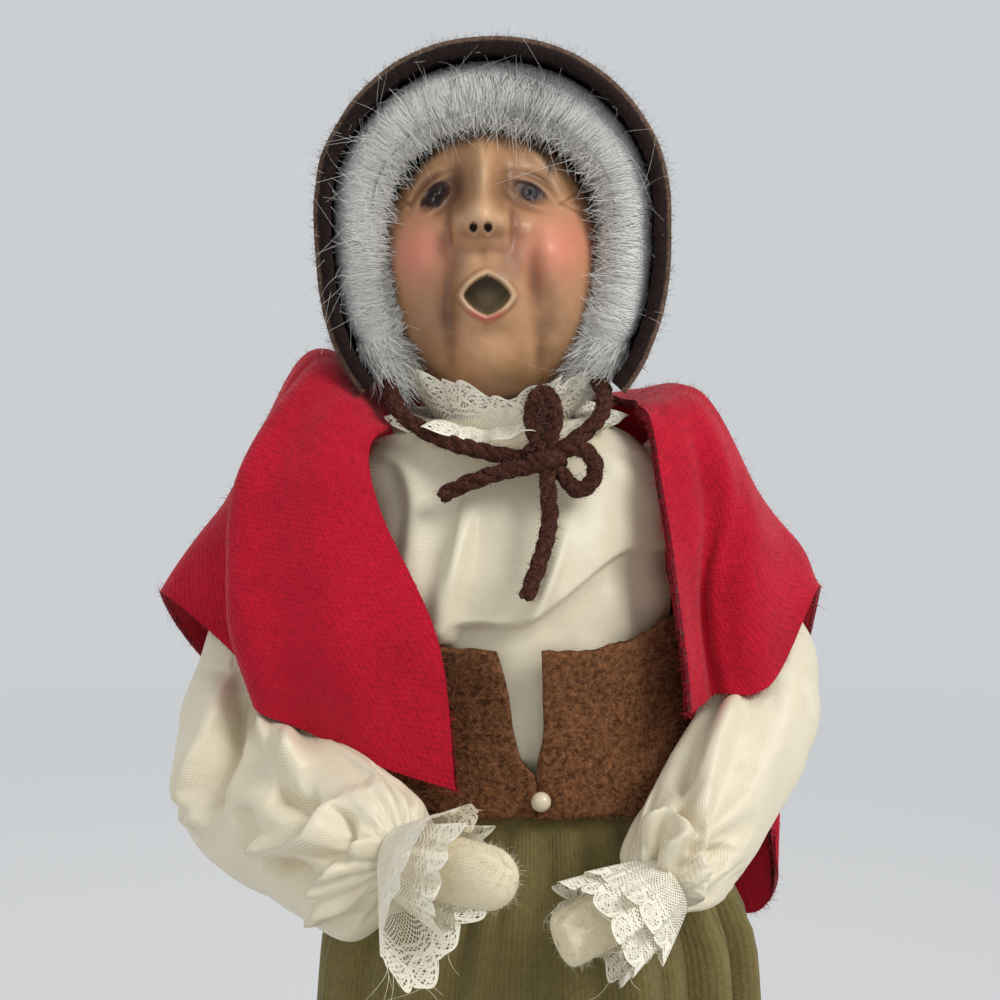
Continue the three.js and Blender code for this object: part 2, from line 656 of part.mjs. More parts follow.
function onHead(turn, rise, offset = 0) {
  const x = HEAD_CENTRE.x + (HEAD_HALF_WIDTH + offset) * Math.sin(turn) * Math.cos(rise);
  const y = HEAD_CENTRE.y - (HEAD_HALF_DEPTH + offset) * Math.cos(turn) * Math.cos(rise);
  const z = HEAD_CENTRE.z + (HEAD_HALF_HEIGHT + offset) * Math.sin(rise);
  const front = smooth(0.1, 0.62, Math.cos(turn) * Math.cos(rise));
  return vec(x, y - front * faceRelief(x, z), z);
}

function headForm(offset, columns, rows) {
  const turn = (u) => Math.PI * (0.5 * (2 * u - 1) + 0.5 * (2 * u - 1) ** 3);
  const rings = steps(-Math.PI / 2 + 0.06, Math.PI / 2 - 0.06, rows).map((rise) =>
    steps(0, columns - 1, columns - 1).map((i) => onHead(turn(i / columns), rise, offset)),
  );
  return skinned(rings);
}

function head() {
  const lips = new THREE.Shape();
  const [w, h] = [MOUTH_WIDTH / 2, MOUTH_HEIGHT / 2];
  lips.moveTo(-w, 0);
  lips.bezierCurveTo(-w * 0.62, -h * 0.9, -w * 0.35, -h, 0, -h);
  lips.bezierCurveTo(w * 0.35, -h, w * 0.62, -h * 0.9, w, 0);
  lips.bezierCurveTo(w * 0.62, h * 0.9, w * 0.35, h, 0, h);
  lips.bezierCurveTo(-w * 0.35, h, -w * 0.62, h * 0.9, -w, 0);
  const mouthFront = onHead(0, Math.asin((MOUTH_Z - HEAD_CENTRE.z) / HEAD_HALF_HEIGHT)).y;
  const mouthForm = { depth: MOUTH_DEPTH + 4, bevelEnabled: false, curveSegments: 4 };
  const mouth = new THREE.ExtrudeGeometry(lips, mouthForm);
  mouth.rotateX(-Math.PI / 2);
  mouth.translate(MOUTH_X, mouthFront - 4, MOUTH_Z);
  const nostril = (side) => {
    const start = vec(NOSE_X + (side * NOSTRIL_SPACING) / 2, -30, NOSE_Z - 2.2);
    const seen = onHead(0, Math.asin((NOSE_Z - 2.2 - HEAD_CENTRE.z) / HEAD_HALF_HEIGHT)).y;
    return rod([start, vec(start.x, seen + NOSTRIL_DEPTH, start.z + 1.2)], NOSTRIL_RADIUS, 1, 6);
  };
  const neck = vec(HEAD_CENTRE.x, HEAD_CENTRE.y, SPINE_TOP + CLEAR);
  const neckHole = rod([vec(HEAD_CENTRE.x, 0, bodyTop - 4), neck], SPINE_RADIUS + 2 * CLEAR, 1, 8);
  const seatDepth = 6;
  const seat = new THREE.CylinderGeometry(9, 9, seatDepth, 16).rotateX(Math.PI / 2);
  seat.translate(HEAD_CENTRE.x, 1.5, bodyTop + CLEAR - seatDepth / 2);
  return cut(headForm(0, 34, 22), mouth, nostril(-1), nostril(1), neckHole, seat);
}

// Bonnet and hair: a horseshoe round the face

// A point of the horseshoe at an angle from the top, drawn in by an inset.
function horseshoe(angle, inset, scale = 1) {
  const power = 2 / mix(2.1, RIM_POWER, smooth(0.9, 1.9, Math.abs(angle)));
  const across = Math.sign(Math.sin(angle)) * Math.abs(Math.sin(angle)) ** power;
  const up = Math.sign(Math.cos(angle)) * Math.abs(Math.cos(angle)) ** power;
  const reach = Math.cos(angle) > 0 ? RIM_RISE : RIM_DROP;
  return [BONNET_X + (RIM_HALF_WIDTH * scale - inset) * across, BONNET_Z + (reach * scale - inset) * up];
}

const rimAngle = (u) => mix(-RIM_END, RIM_END, u);

function onBrim(u, v, inset) {
  const [x, z] = horseshoe(rimAngle(u), inset, mix(1, BRIM_BACK_SCALE, v ** 1.3));
  const poke = 3 * Math.cos(rimAngle(u) / 2) ** 2;
  return vec(x, mix(RIM_Y + 1.5 - poke, BRIM_BACK_Y, v), z);
}

function onCrown(u, v, inset) {
  const round = (Math.PI / 2) * v;
  const [x, z] = horseshoe(rimAngle(u), inset, BRIM_BACK_SCALE);
  const middle = [BONNET_X, BONNET_Z - 3];
  const y = BRIM_BACK_Y + CLEAR + (CROWN_DEPTH - inset) * Math.sin(round);
  const share = Math.cos(round) ** 0.9;
  return vec(mix(middle[0], x, share), y, mix(middle[1], z, share));
}

const bonnetBrim = () =>
  clothBetween((u, v) => onBrim(u, v, 0), (u, v) => onBrim(u, v, FELT_THICKNESS), 28, 2, false);

const bonnetLining = () =>
  clothBetween(
    (u, v) => onBrim(u, v, FELT_THICKNESS + CLEAR),
    (u, v) => onBrim(u, v, FELT_THICKNESS + CLEAR + LINING_THICKNESS),
    28,
    2,
    false,
  );

const bonnetCrown = () =>
  clothBetween((u, v) => onCrown(u, v, 0), (u, v) => onCrown(u, v, FELT_THICKNESS), 24, 5, false);

function bonnetBinding() {
  const edge = steps(0, 1, 20).map((u) => {
    const p = onBrim(u, 0, BINDING_RADIUS + 0.1);
    return p.add(vec(0, -BINDING_RADIUS - CLEAR, 0));
  });
  return rod(edge, BINDING_RADIUS, 28, 6);
}

function hairRoll() {
  const ends = 0.02;
  const atTop = (u) => Math.max(0, Math.cos(rimAngle(u))) ** 2;
  const middle = (u) => {
    const inset = mix(HAIR_SIDE.inset, HAIR_TOP.inset, atTop(u));
    const [x, z] = horseshoe(rimAngle(mix(ends, 1 - ends, u)), inset);
    return vec(x, HAIR_Y, z);
  };
  const rings = steps(0, 1, 28).map((u) => {
    const here = middle(u);
    const ahead = middle(Math.min(1, u + 0.01)).sub(middle(Math.max(0, u - 0.01))).normalize();
    const out = vec(ahead.z, 0, -ahead.x);
    const size = mix(0.65, 1, smooth(0, 0.06, u) * smooth(1, 0.94, u));
    const radius = mix(HAIR_SIDE.radius, HAIR_TOP.radius, atTop(u));
    return steps(0, 9, 9).map((k) => {
      const angle = (TAU * k) / 10;
      return here
        .clone()
        .addScaledVector(out, -radius * size * Math.cos(angle))
        .add(vec(0, HAIR_DEPTH * size * Math.sin(angle), 0));
    });
  });
  return cut(skinned(rings), headForm(RUNNING, 34, 22));
}

// Hair that covers the back of the head down to the nape
function napeHair() {
  const place = (offset) => (u, v) => onHead(mix(0.56, 1.44, u) * Math.PI, mix(-0.7, 0.6, v), offset);
  return clothBetween(place(NAPE_HAIR_THICKNESS), place(RUNNING), 14, 5, false);
}

// Lace collar under the chin

function collar() {
  const surface = (u, v) => {
    const angle = TAU * u;
    const ruffle = COLLAR_WAVE * v * Math.sin(COLLAR_WAVES * angle);
    const r = mix(COLLAR_INNER, COLLAR_OUTER, v) - 0.6 * ruffle;
    const neckline = mix(COLLAR_FRONT, COLLAR_BACK, (1 + Math.sin(angle)) / 2);
    const z = neckline + COLLAR_STAND * v + ruffle;
    return vec(COLLAR_X + r * Math.cos(angle), COLLAR_Y + r * Math.sin(angle), z);
  };
  return clothSheet(surface, LACE_THICKNESS, 36, 2, true);
}

// Bonnet ties: chenille yarn in a bow under the chin

const tieEnd = (u) => onBrim(u, 0.25, FELT_THICKNESS + LINING_THICKNESS + 2 * CLEAR + TIE_RADIUS + 0.2);
const fromKnot = (x, y, z) => {
  const way = vec(x, y, z).normalize();
  return KNOT.clone().addScaledVector(way, KNOT_RADIUS + CLEAR);
};

const besideKnot = (x, y, z) => KNOT.clone().add(vec(x, y, z));

const TIE_ROUTES = {
  tie_right: [
    tieEnd(0), besideKnot(-23.6, 6.9, 7), besideKnot(-19.4, 4.3, 4.2), besideKnot(-10.8, 0.9, 1.4),
    fromKnot(-1, 0.1, 0.1),
  ],
  tie_left: [tieEnd(1), besideKnot(10, 6.9, 9), besideKnot(7.8, 2.9, 5.2), fromKnot(1, 0.35, 0.55)],
  bow_tail_right: [
    fromKnot(-0.9, -0.5, -0.3), besideKnot(-7.8, -2, -2.2), besideKnot(-12.8, -0.9, -4),
    besideKnot(-17.1, 0.3, -6.2),
  ],
  bow_tail_front: [
    fromKnot(0.1, -0.45, -1), besideKnot(0.8, -3.8, -8.6), besideKnot(-0.4, -5.5, -14.6),
    besideKnot(-3.2, -6.9, -22.2),
  ],
};

// An upright loop of yarn, centred at a place beside the knot.
function bowLoop(fromKnotX, fromKnotY, fromKnotZ, halfAcross, halfUp) {
  const centre = besideKnot(fromKnotX, fromKnotY, fromKnotZ);
  const ring = steps(0, 14, 14).map((k) => {
    const angle = (TAU * k) / 15;
    return vec(halfAcross * Math.cos(angle), 0, halfUp * Math.sin(angle)).add(centre);
  });
  const section = new THREE.Shape().absarc(0, 0, TIE_RADIUS, 0, TAU);
  const path = new THREE.CatmullRomCurve3(ring, true);
  const form = { steps: 16, curveSegments: 3, bevelEnabled: false, extrudePath: path };
  return new THREE.ExtrudeGeometry(section, form);
}

function knot() {
  return new THREE.SphereGeometry(KNOT_RADIUS, 12, 8).scale(1, 0.85, 1.05).translate(KNOT.x, KNOT.y, KNOT.z);
}

// Arms

// The sleeve from the shoulder ball down to the elbow, hollowed for the arm and for the elbow ball.
function upperSleeve(shoulder, elbow, shoulderBall, elbowBall, swell) {
  const length = shoulder.distanceTo(elbow);
  const reach = [...steps(-shoulderBall * 0.985, 0, 4), ...steps(shoulderBall * 0.4, length, 7)];
  const outer = limb(shoulder, elbow, reach, 14, (d, angle) => {
    if (d <= 0) return Math.sqrt(Math.max(0.3, shoulderBall ** 2 - d * d));
    const t = d / length;
    const fold = 0.5 * Math.sin(3 * angle + 9 * t) * smooth(0.35, 0.7, t);
    const wide = mix(shoulderBall * mix(1, 0.86, smooth(0, 0.35, t)), swell, smooth(0.3, 0.75, t));
    return mix(wide + fold, elbowBall * 0.62, smooth(0.86, 1, t));
  });
  const bore = rod([shoulder, elbow], ARM_PADDING_RADIUS + CLEAR, 1, 8);
  return cut(outer, ball(elbow, elbowBall + RUNNING), bore);
}

// The sleeve from the elbow ball to the gathered wrist. It creases at the inside of the elbow
// and hangs full below the arm.
function lowerSleeve(elbow, wrist, elbowBall, swell, sag) {
  const length = elbow.distanceTo(wrist);
  const crease = smoothRows([
    [0, elbowBall],
    [elbowBall * 0.72, elbowBall * 0.6],
    [elbowBall * 1.15, elbowBall * 0.56],
    [length * 0.5, swell * 0.92],
    [length * 0.8, swell * 0.9],
    [length * 0.92, swell * 0.62],
    [length - 0.2, ARM_PADDING_RADIUS + 1.6],
  ]);
  const full = smoothRows([
    [0, elbowBall],
    [elbowBall * 0.7, elbowBall * 1.07 + 0.5 * sag],
    [length * 0.5, swell + sag],
    [length * 0.8, swell + sag],
    [length * 0.94, swell * 0.8],
    [length - 0.2, ARM_PADDING_RADIUS + 2.2],
  ]);
  const reach = [...steps(-elbowBall * 0.985, 0, 4), ...steps(elbowBall * 0.36, length - 0.2, 9)];
  const outer = limb(elbow, wrist, reach, 16, (d, angle) => {
    if (d <= 0) return Math.sqrt(Math.max(0.3, elbowBall ** 2 - d * d));
    const t = d / length;
    const under = smooth(-0.35, 0.75, -Math.sin(angle));
    const ballHere = Math.sqrt(Math.max(0, elbowBall ** 2 - d * d));
    const upper = d < elbowBall * 0.72 ? ballHere : crease(d)[0];
    const wrinkle = 0.6 * Math.sin(4 * angle + 7 * t) + 0.4 * Math.sin(7 * angle);
    return mix(upper, full(d)[0], under) + wrinkle * smooth(0.3, 0.6, t) * smooth(1, 0.86, t);
  });
  return cut(outer, rod([elbow, towards(wrist, elbow, -1)], ARM_PADDING_RADIUS + CLEAR, 1, 8));
}

function tubeAlong(start, end, outer, inner, sides = 8) {
  const bore = rod([towards(start, end, -1), towards(end, start, -1)], inner, 1, 6);
  return cut(rod([start, end], outer, 1, sides), bore);
}

// A lace ruffle that flares round the wrist towards the hand.
function cuff({ elbow, wrist, tip }, { inner, outer, drop, reach }) {
  const handWay = tip.clone().sub(wrist).normalize();
  const along = wrist.clone().sub(elbow).normalize().lerp(handWay, 0.5).normalize();
  const side = vec(0, 0, 1).cross(along).normalize();
  const up = along.clone().cross(side);
  const surface = (u, v) => {
    const angle = TAU * u;
    const low = Math.max(0, -Math.sin(angle));
    const r = mix(inner, outer + drop * low + 0.7 * Math.sin(9 * angle), v ** 0.8);
    const push = 1 + reach * v + 1.5 * v * Math.sin(9 * angle) - 2 * v * low;
    return wrist
      .clone()
      .addScaledVector(along, push)
      .addScaledVector(side, r * Math.cos(angle))
      .addScaledVector(up, r * Math.sin(angle));
  };
  return clothSheet(surface, LACE_THICKNESS, 30, 2, true);
}

// A mitten of jersey over a bent wire, blunt at the finger end.
function mitten(wrist, tip, halfHeight, halfThick, blunt, wireHole) {
  const length = wrist.distanceTo(tip);
  const along = tip.clone().sub(wrist).normalize();
  const side = vec(0, 0, 1).cross(along).normalize();
  const up = along.clone().cross(side);
  const start = CLEAR + 0.2;
  const rings = [...steps(start, length * 0.8, 4), ...steps(length * 0.88, length, 3)].map((d) => {
    const t = (d - start) / (length - start);
    const end = Math.max(0.12, 1 - Math.max(0, (t - 0.62) / 0.38) ** blunt) ** 0.5;
    const grow = mix(0.58, 1, smooth(0, 0.4, t)) * end;
    return steps(0, 11, 11).map((k) => {
      const angle = (TAU * k) / 12;
      const crease = 1 - 0.14 * hump(angle - Math.PI / 2, 0, 0.5, 1) * smooth(0.5, 0.9, t);
      return wrist
        .clone()
        .addScaledVector(along, d)
        .addScaledVector(side, halfThick * grow * Math.cos(angle))
        .addScaledVector(up, halfHeight * grow * crease * Math.sin(angle));
    });
  });
  return cut(skinned(rings), wireHole);
}

function arm(side, joints, shoulderBall, elbowBall, sleeve, hand, ruffle) {
  const { shoulder, elbow, wrist, tip } = joints;
  const upperEnd = towards(elbow, shoulder, elbowBall + RUNNING + CLEAR);
  const wireReach = 10;
  add(`${side}_upper_arm_wire`, rod([shoulder, upperEnd], WIRE_RADIUS, 1, 6), steel);
  add(
    `${side}_upper_arm_padding`,
    tubeAlong(towards(shoulder, elbow, CLEAR), upperEnd, ARM_PADDING_RADIUS, WIRE_RADIUS + CLEAR),
    wadding,
  );
  const upperCloth = upperSleeve(shoulder, elbow, shoulderBall, elbowBall, sleeve.upper);
  add(`${side}_sleeve_upper`, upperCloth, creamCloth);
  const forearmWire = (extra) => {
    const ends = [towards(elbow, wrist, CLEAR - extra), towards(wrist, tip, wireReach + extra)];
    return rod([ends[0], wrist.clone(), ends[1]], WIRE_RADIUS + extra, 10, 6);
  };
  add(`${side}_forearm_wire`, forearmWire(0), steel);
  const forearmRoll = rod([towards(elbow, wrist, CLEAR), towards(wrist, elbow, 3)], ARM_PADDING_RADIUS, 1, 8);
  add(`${side}_forearm_padding`, cut(forearmRoll, forearmWire(2 * CLEAR)), wadding);
  add(`${side}_sleeve_lower`, lowerSleeve(elbow, wrist, elbowBall, sleeve.lower, sleeve.sag), creamCloth);
  add(`${side}_cuff_lace`, cuff(joints, ruffle), lace);
  const wireHole = forearmWire(2 * CLEAR);
  add(`${side}_hand`, mitten(wrist, tip, hand.halfHeight, hand.halfThick, hand.blunt, wireHole), jersey);
}

// Shawl: five lines that the cloth is laid along, from the neck edge down to the hem.
// Each runs from the right front edge, round the back, to the left front edge.
const NECK_LINE = [
  vec(-23.5, -14, 263), vec(-24.5, -9, 263.5), vec(-25, -4, 265), vec(-25, 1, 267), vec(-24, 7, 268),
  vec(-17, 15, 268), vec(-4, 19, 267), vec(10, 15, 267), vec(14, 11, 267), vec(16, 6, 266.5),
  vec(17.5, 1, 266.5), vec(17.8, -4, 266.5), vec(17.5, -9, 266),
];
const SHOULDER_LINE = [
  vec(-27, -19, 260.5), vec(-32, -16, 266.5), vec(-36, -9, 272), vec(-37, -3, 274.2), vec(-37.2, 4, 274),
  vec(-29, 18, 269), vec(-4, 24, 264), vec(18, 17, 265), vec(23.5, 13, 267), vec(27.5, 7, 267.8),
  vec(28.6, 0, 267.6), vec(26, -8, 265.5), vec(19.5, -14.5, 263.5),
];
const CHEST_LINE = [
  vec(-25.2, -23.5, 250), vec(-36, -25, 252.5), vec(-47, -18, 254), vec(-47.3, -9, 254.5), vec(-50, 3, 253.5),
  vec(-43, 19, 250), vec(-3, 29, 246), vec(29, 20, 247), vec(35, 13, 248.5), vec(39, 5, 250),
  vec(36.5, -8, 251.5), vec(30, -12.5, 252), vec(21.5, -20.5, 250.5),
];
const ELBOW_LINE = [
  vec(-15.5, -28, 229), vec(-32, -30, 230.5), vec(-47.2, -22.5, 234), vec(-46.8, -14.2, 238),
  vec(-57, -1, 243),
  vec(-51, 18, 230), vec(-2, 32, 216), vec(40, 23, 216), vec(44, 12, 226), vec(46, 0, 242),
  vec(36.5, -17.5, 236.5), vec(29, -15.5, 236), vec(22.5, -23.5, 238),
];
const HEM_LINE = [
  vec(-12.6, -29.5, 205.5), vec(-27, -27.2, 211.6), vec(-43.6, -20.5, 218.5), vec(-48, -15, 224),
  vec(-62.8, -3, 233.6),
  vec(-51, 18, 213), vec(4, 38, 184), vec(42, 31, 169), vec(45.5, 20, 196), vec(49.3, -3, 234.6),
  vec(38.7, -19.5, 221), vec(30.5, -19, 219.5), vec(25.3, -26, 217.5),
];

function shawl() {
  const lines = [NECK_LINE, SHOULDER_LINE, CHEST_LINE, ELBOW_LINE, HEM_LINE].map(
    (points) => new THREE.CatmullRomCurve3(points, false, "centripetal"),
  );
  const surface = (u, v) =>
    new THREE.CatmullRomCurve3(
      lines.map((line) => line.getPoint(u)),
      false,
      "centripetal",
    ).getPoint(v);
  return clothSheet(surface, SHAWL_THICKNESS, 40, 9, false);
}

// The whole figure

add("base", base(), blackPaint);
for (const [side, name] of [[-1, "right"], [1, "left"]]) {
  add(`${name}_shoe`, shoe(side), shoePaint);
  add(`${name}_leg_padding`, legPadding(side), wadding);
}
add("armature_wire", armatureWire(), steel);
add("shoulder_wire", rod(yokePoints(RUNNING + CLEAR), WIRE_RADIUS, 12, 6), steel);
add("body_padding", bodyPadding(), wadding);
add("petticoat", petticoat(), whiteCotton);
add("skirt", skirt(), oliveCloth);
add("blouse", blouse(), creamCloth);
add("waist_cincher", cincher(), brownFelt);
add("cincher_pin", pinShaft(), steel);
add("pin_pearl", pearlHead(), pearl);
add("head", head(), paintedClay);
add("hair", hairRoll(), mohair);
add("nape_hair", napeHair(), mohair);
add("bonnet_brim", bonnetBrim(), bonnetFelt);
add("bonnet_lining", bonnetLining(), darkVelvet);
add("bonnet_crown", bonnetCrown(), bonnetFelt);
add("bonnet_binding", bonnetBinding(), darkVelvet);
add("lace_collar", collar(), lace);
add("bow_knot", knot(), chenille);
for (const [name, route] of Object.entries(TIE_ROUTES)) add(name, rod(route, TIE_RADIUS, 12, 6), chenille);
add("bow_loop_upper", bowLoop(-0.3, -1.2, 7.9, 2.1, 2.9), chenille);
add("bow_loop_left", bowLoop(7, -0.5, -1.9, 2.5, 2.8), chenille);
arm(
  "right",
  { shoulder: RIGHT_SHOULDER, elbow: RIGHT_ELBOW, wrist: RIGHT_WRIST, tip: RIGHT_TIP },
  RIGHT_SHOULDER_BALL,
  RIGHT_ELBOW_BALL,
  { upper: 9.4, lower: 11, sag: 4.5 },
  { halfHeight: 5.8, halfThick: 4.6, blunt: 3 },
  { inner: 5.8, outer: 14, drop: 5, reach: 8.5 },
);
arm(
  "left",
  { shoulder: LEFT_SHOULDER, elbow: LEFT_ELBOW, wrist: LEFT_WRIST, tip: LEFT_TIP },
  LEFT_SHOULDER_BALL,
  LEFT_ELBOW_BALL,
  { upper: 7.8, lower: 8.8, sag: 1.2 },
  { halfHeight: 4.8, halfThick: 3.4, blunt: 6 },
  { inner: 5.8, outer: 10, drop: 0.5, reach: 11 },
);
add("shawl", shawl(), redWool);

export default figure;
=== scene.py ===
"""The look of a caroler figurine: a singing old woman in bonnet, shawl and long skirt.

Lengths are in millimetres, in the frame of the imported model, and become metres when a mesh is made. The
figure faces -Y, and its left hand is towards +X. Clothes that lie over each other are laid out from the same
rows of numbers, each a little further out.
"""

import bpy
import numpy as np
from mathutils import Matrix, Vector


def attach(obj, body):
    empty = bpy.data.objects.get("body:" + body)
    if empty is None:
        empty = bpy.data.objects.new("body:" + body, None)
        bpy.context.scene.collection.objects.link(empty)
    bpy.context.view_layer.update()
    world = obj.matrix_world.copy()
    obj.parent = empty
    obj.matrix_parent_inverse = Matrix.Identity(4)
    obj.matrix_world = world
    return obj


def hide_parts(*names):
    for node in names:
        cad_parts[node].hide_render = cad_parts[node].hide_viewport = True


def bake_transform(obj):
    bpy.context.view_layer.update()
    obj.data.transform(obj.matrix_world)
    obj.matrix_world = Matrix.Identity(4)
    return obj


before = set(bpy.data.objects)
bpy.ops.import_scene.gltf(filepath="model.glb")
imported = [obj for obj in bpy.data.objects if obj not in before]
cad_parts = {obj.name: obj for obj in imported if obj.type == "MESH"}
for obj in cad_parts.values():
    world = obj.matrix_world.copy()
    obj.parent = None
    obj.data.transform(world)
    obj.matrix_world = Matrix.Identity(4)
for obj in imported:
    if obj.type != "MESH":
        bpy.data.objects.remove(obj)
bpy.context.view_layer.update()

MM = 0.001
TAU = 2 * np.pi


# Small mathematics


def mix(a, b, t):
    """The value that lies a share t of the way from a to b."""
    return a + (b - a) * t


def smooth(start, end, x):
    """Goes smoothly from 0 at start to 1 at end."""
    t = np.clip((x - start) / (end - start), 0, 1)
    return t * t * (3 - 2 * t)


def hump(dx, dz, width, height):
    """A bell curve of height 1 that dies away over about the given widths."""
    return np.exp(-((dx / width) ** 2) - (dz / height) ** 2)


def unit(v):
    """Vectors brought to length 1."""
    return v / np.maximum(np.linalg.norm(v, axis=-1, keepdims=True), 1e-9)


def vec(*xyz):
    """One vector of plain numbers."""
    return np.array(xyz, float)


def point(*xyz):
    """A single place as a vector that broadcasts over a grid."""
    return np.stack(np.broadcast_arrays(*[np.asarray(c, float) for c in xyz]), axis=-1)


def smooth_rows(rows):
    """Values that change smoothly between rows of [place, value, value, ...].

    Each span is a cubic, and at a row its slope is that between the rows on either side.
    """
    rows = np.array(rows, float)
    place, values = rows[:, 0], rows[:, 1:]
    order = np.arange(len(rows))
    before, after = np.maximum(order - 1, 0), np.minimum(order + 1, len(rows) - 1)
    slope = (values[after] - values[before]) / (place[after] - place[before])[:, None]

    def at(x):
        x = np.asarray(x, float)
        i = np.clip(np.searchsorted(place, x, side="left") - 1, 0, len(rows) - 2)
        span = place[i + 1] - place[i]
        t = np.clip((x - place[i]) / span, 0, 1)[..., None]
        h = t * t * (3 - 2 * t)
        bend = span[..., None] * (slope[i] * t * (1 - t) ** 2 - slope[i + 1] * t * t * (1 - t))
        made = values[i] * (1 - h) + values[i + 1] * h + bend
        return [made[..., k] for k in range(made.shape[-1])]

    return at


def through(points, t):
    """A smooth curve through the points (first axis), read at t from 0 to 1.

    Each span is a cubic, and at a point it runs parallel to the line between the points on either side.
    """
    points = np.asarray(points, float)
    n = len(points)
    place = np.clip(np.asarray(t, float), 0, 1) * (n - 1)
    i = np.clip(place.astype(int), 0, n - 2)
    f = (place - i).reshape((-1,) + (1,) * (points.ndim - 1))
    p0, p1 = points[np.maximum(i - 1, 0)], points[i]
    p2, p3 = points[i + 1], points[np.minimum(i + 2, n - 1)]
    square, cube = 2 * p0 - 5 * p1 + 4 * p2 - p3, 3 * p1 - p0 - 3 * p2 + p3
    return 0.5 * (2 * p1 + (p2 - p0) * f + square * f**2 + cube * f**3)


def wander(x, y, seed, scale, turns=4):
    """A soft random field: a sum of sines of growing pitch, about -1 to 1."""
    rng = np.random.default_rng(seed)
    total = 0
    for k in range(turns):
        a, b, phase = rng.normal(size=2).tolist() + [rng.uniform(0, TAU)]
        size = scale * 1.7**k
        sway = 1.3 * np.sin((b * x - a * y) * size * 0.6)
        total = total + np.sin((a * x + b * y) * size + phase + sway) / 1.5**k
    return total / 2.2


def crease(phase, sharpness=2.5):
    """Rounded ridges with narrow valleys between, one for each turn: 1 less a power of a raised cosine."""
    return 1 - (0.5 + 0.5 * np.cos(phase)) ** sharpness


def stroke(x, z, line, width, height, lee=1.0):
    """A fold along a line seen from the front: a bell curve of the distance from it, low at its ends.

    lee below 1 makes it steeper on the left of the line's way.
    """
    near, side = np.full(np.shape(x), 1e9), np.ones(np.shape(x))
    share = np.zeros(np.shape(x))
    for k, ((x0, z0), (x1, z1)) in enumerate(zip(line[:-1], line[1:])):
        dx, dz = x1 - x0, z1 - z0
        t = np.clip(((x - x0) * dx + (z - z0) * dz) / (dx * dx + dz * dz), 0, 1)
        ex, ez = x - x0 - t * dx, z - z0 - t * dz
        away = np.hypot(ex, ez)
        closer = away < near
        near = np.where(closer, away, near)
        side = np.where(closer, np.sign(dx * ez - dz * ex), side)
        share = np.where(closer, (k + t) / (len(line) - 1), share)
    width = np.where(side > 0, width * lee, width)
    ends = smooth(0, 0.2, share + 0.05) * smooth(1, 0.8, share - 0.05)
    return height * np.exp(-((near / width) ** 2)) * ends


# Meshes


def make_piece(name, points, faces, uv=None, colour=None):
    """A smoothly shaded mesh, from points in millimetres and arrays of faces, each of one number of sides."""
    corners = np.concatenate([np.ravel(part) for part in faces]).astype(np.int32)
    sides = np.concatenate([np.full(len(part), part.shape[1]) for part in faces])
    mesh = bpy.data.meshes.new(name)
    mesh.vertices.add(len(points))
    mesh.vertices.foreach_set("co", (np.asarray(points, np.float32) * MM).ravel())
    mesh.loops.add(len(corners))
    mesh.loops.foreach_set("vertex_index", corners)
    mesh.polygons.add(len(sides))
    mesh.polygons.foreach_set("loop_start", (np.cumsum(sides) - sides).astype(np.int32))
    mesh.update(calc_edges=True)
    mesh.validate()
    if uv is not None:
        layer = mesh.uv_layers.new(name="cloth_mm")
        layer.data.foreach_set("uv", np.asarray(uv, np.float32)[corners].ravel())
    if colour is not None:
        paint = mesh.color_attributes.new("paint", "FLOAT_COLOR", "POINT")
        rgba = np.concatenate([colour, np.ones((len(colour), 1))], axis=1)
        paint.data.foreach_set("color", rgba.astype(np.float32).ravel())
    mesh.polygons.foreach_set("use_smooth", np.full(len(sides), True))
    piece = bpy.data.objects.new(name, mesh)
    bpy.context.scene.collection.objects.link(piece)
    return piece


def grid_normals(grid, round_u=False):
    """Unit normals of a grid of points, [u][v][xyz]."""
    if round_u:
        along = np.roll(grid, -1, 0) - np.roll(grid, 1, 0)
    else:
        along = np.gradient(grid, axis=0)
    return unit(np.cross(along, np.gradient(grid, axis=1)))


def grid_faces(nu, nv, round_u, start=0, flip=False):
    """The quads of a grid whose points are counted from start."""
    i = np.arange(nu if round_u else nu - 1)
    i, j = [a.ravel() for a in np.meshgrid(i, np.arange(nv - 1), indexing="ij")]
    near, far = i * nv + j, (i + 1) % nu * nv + j
    quads = np.stack([near, far, far + 1, near + 1], axis=1) + start
    return quads[:, ::-1] if flip else quads


def cloth_lengths(grid):
    """Distances in the cloth along u and along v, in millimetres, for a weave that keeps its size."""
    along_u = np.linalg.norm(np.diff(grid, axis=0), axis=2).mean(1)
    along_v = np.linalg.norm(np.diff(grid, axis=1), axis=2).mean(0)
    sums = [np.concatenate([[0], np.cumsum(along)]) for along in (along_u, along_v)]
    return np.stack(np.meshgrid(*sums, indexing="ij"), axis=-1)


def surface(name, grid, round_u=False, colour=None, ends=False, uv=None):
    """One skin over a grid; ends closes the first and last ring of a round one with fans of triangles."""
    nu, nv = grid.shape[:2]
    faces = [grid_faces(nu, nv, round_u)]
    points = grid.reshape(-1, 3)
    uv = (cloth_lengths(grid) if uv is None else uv).reshape(-1, 2)
    for j, turned in ((0, False), (nv - 1, True)) if ends else ():
        a = np.arange(nu) * nv + j
        b = np.roll(a, -1)
        centre = np.full(nu, len(points))
        faces.append(np.stack([centre, a, b] if turned else [centre, b, a], axis=1))
        points = np.concatenate([points, grid[:, j].mean(0)[None]])
        uv = np.concatenate([uv, uv[j][None]])
        if colour is not None:
            colour = np.concatenate([colour, colour[j][None]])
    return make_piece(name, points, faces, uv, colour)


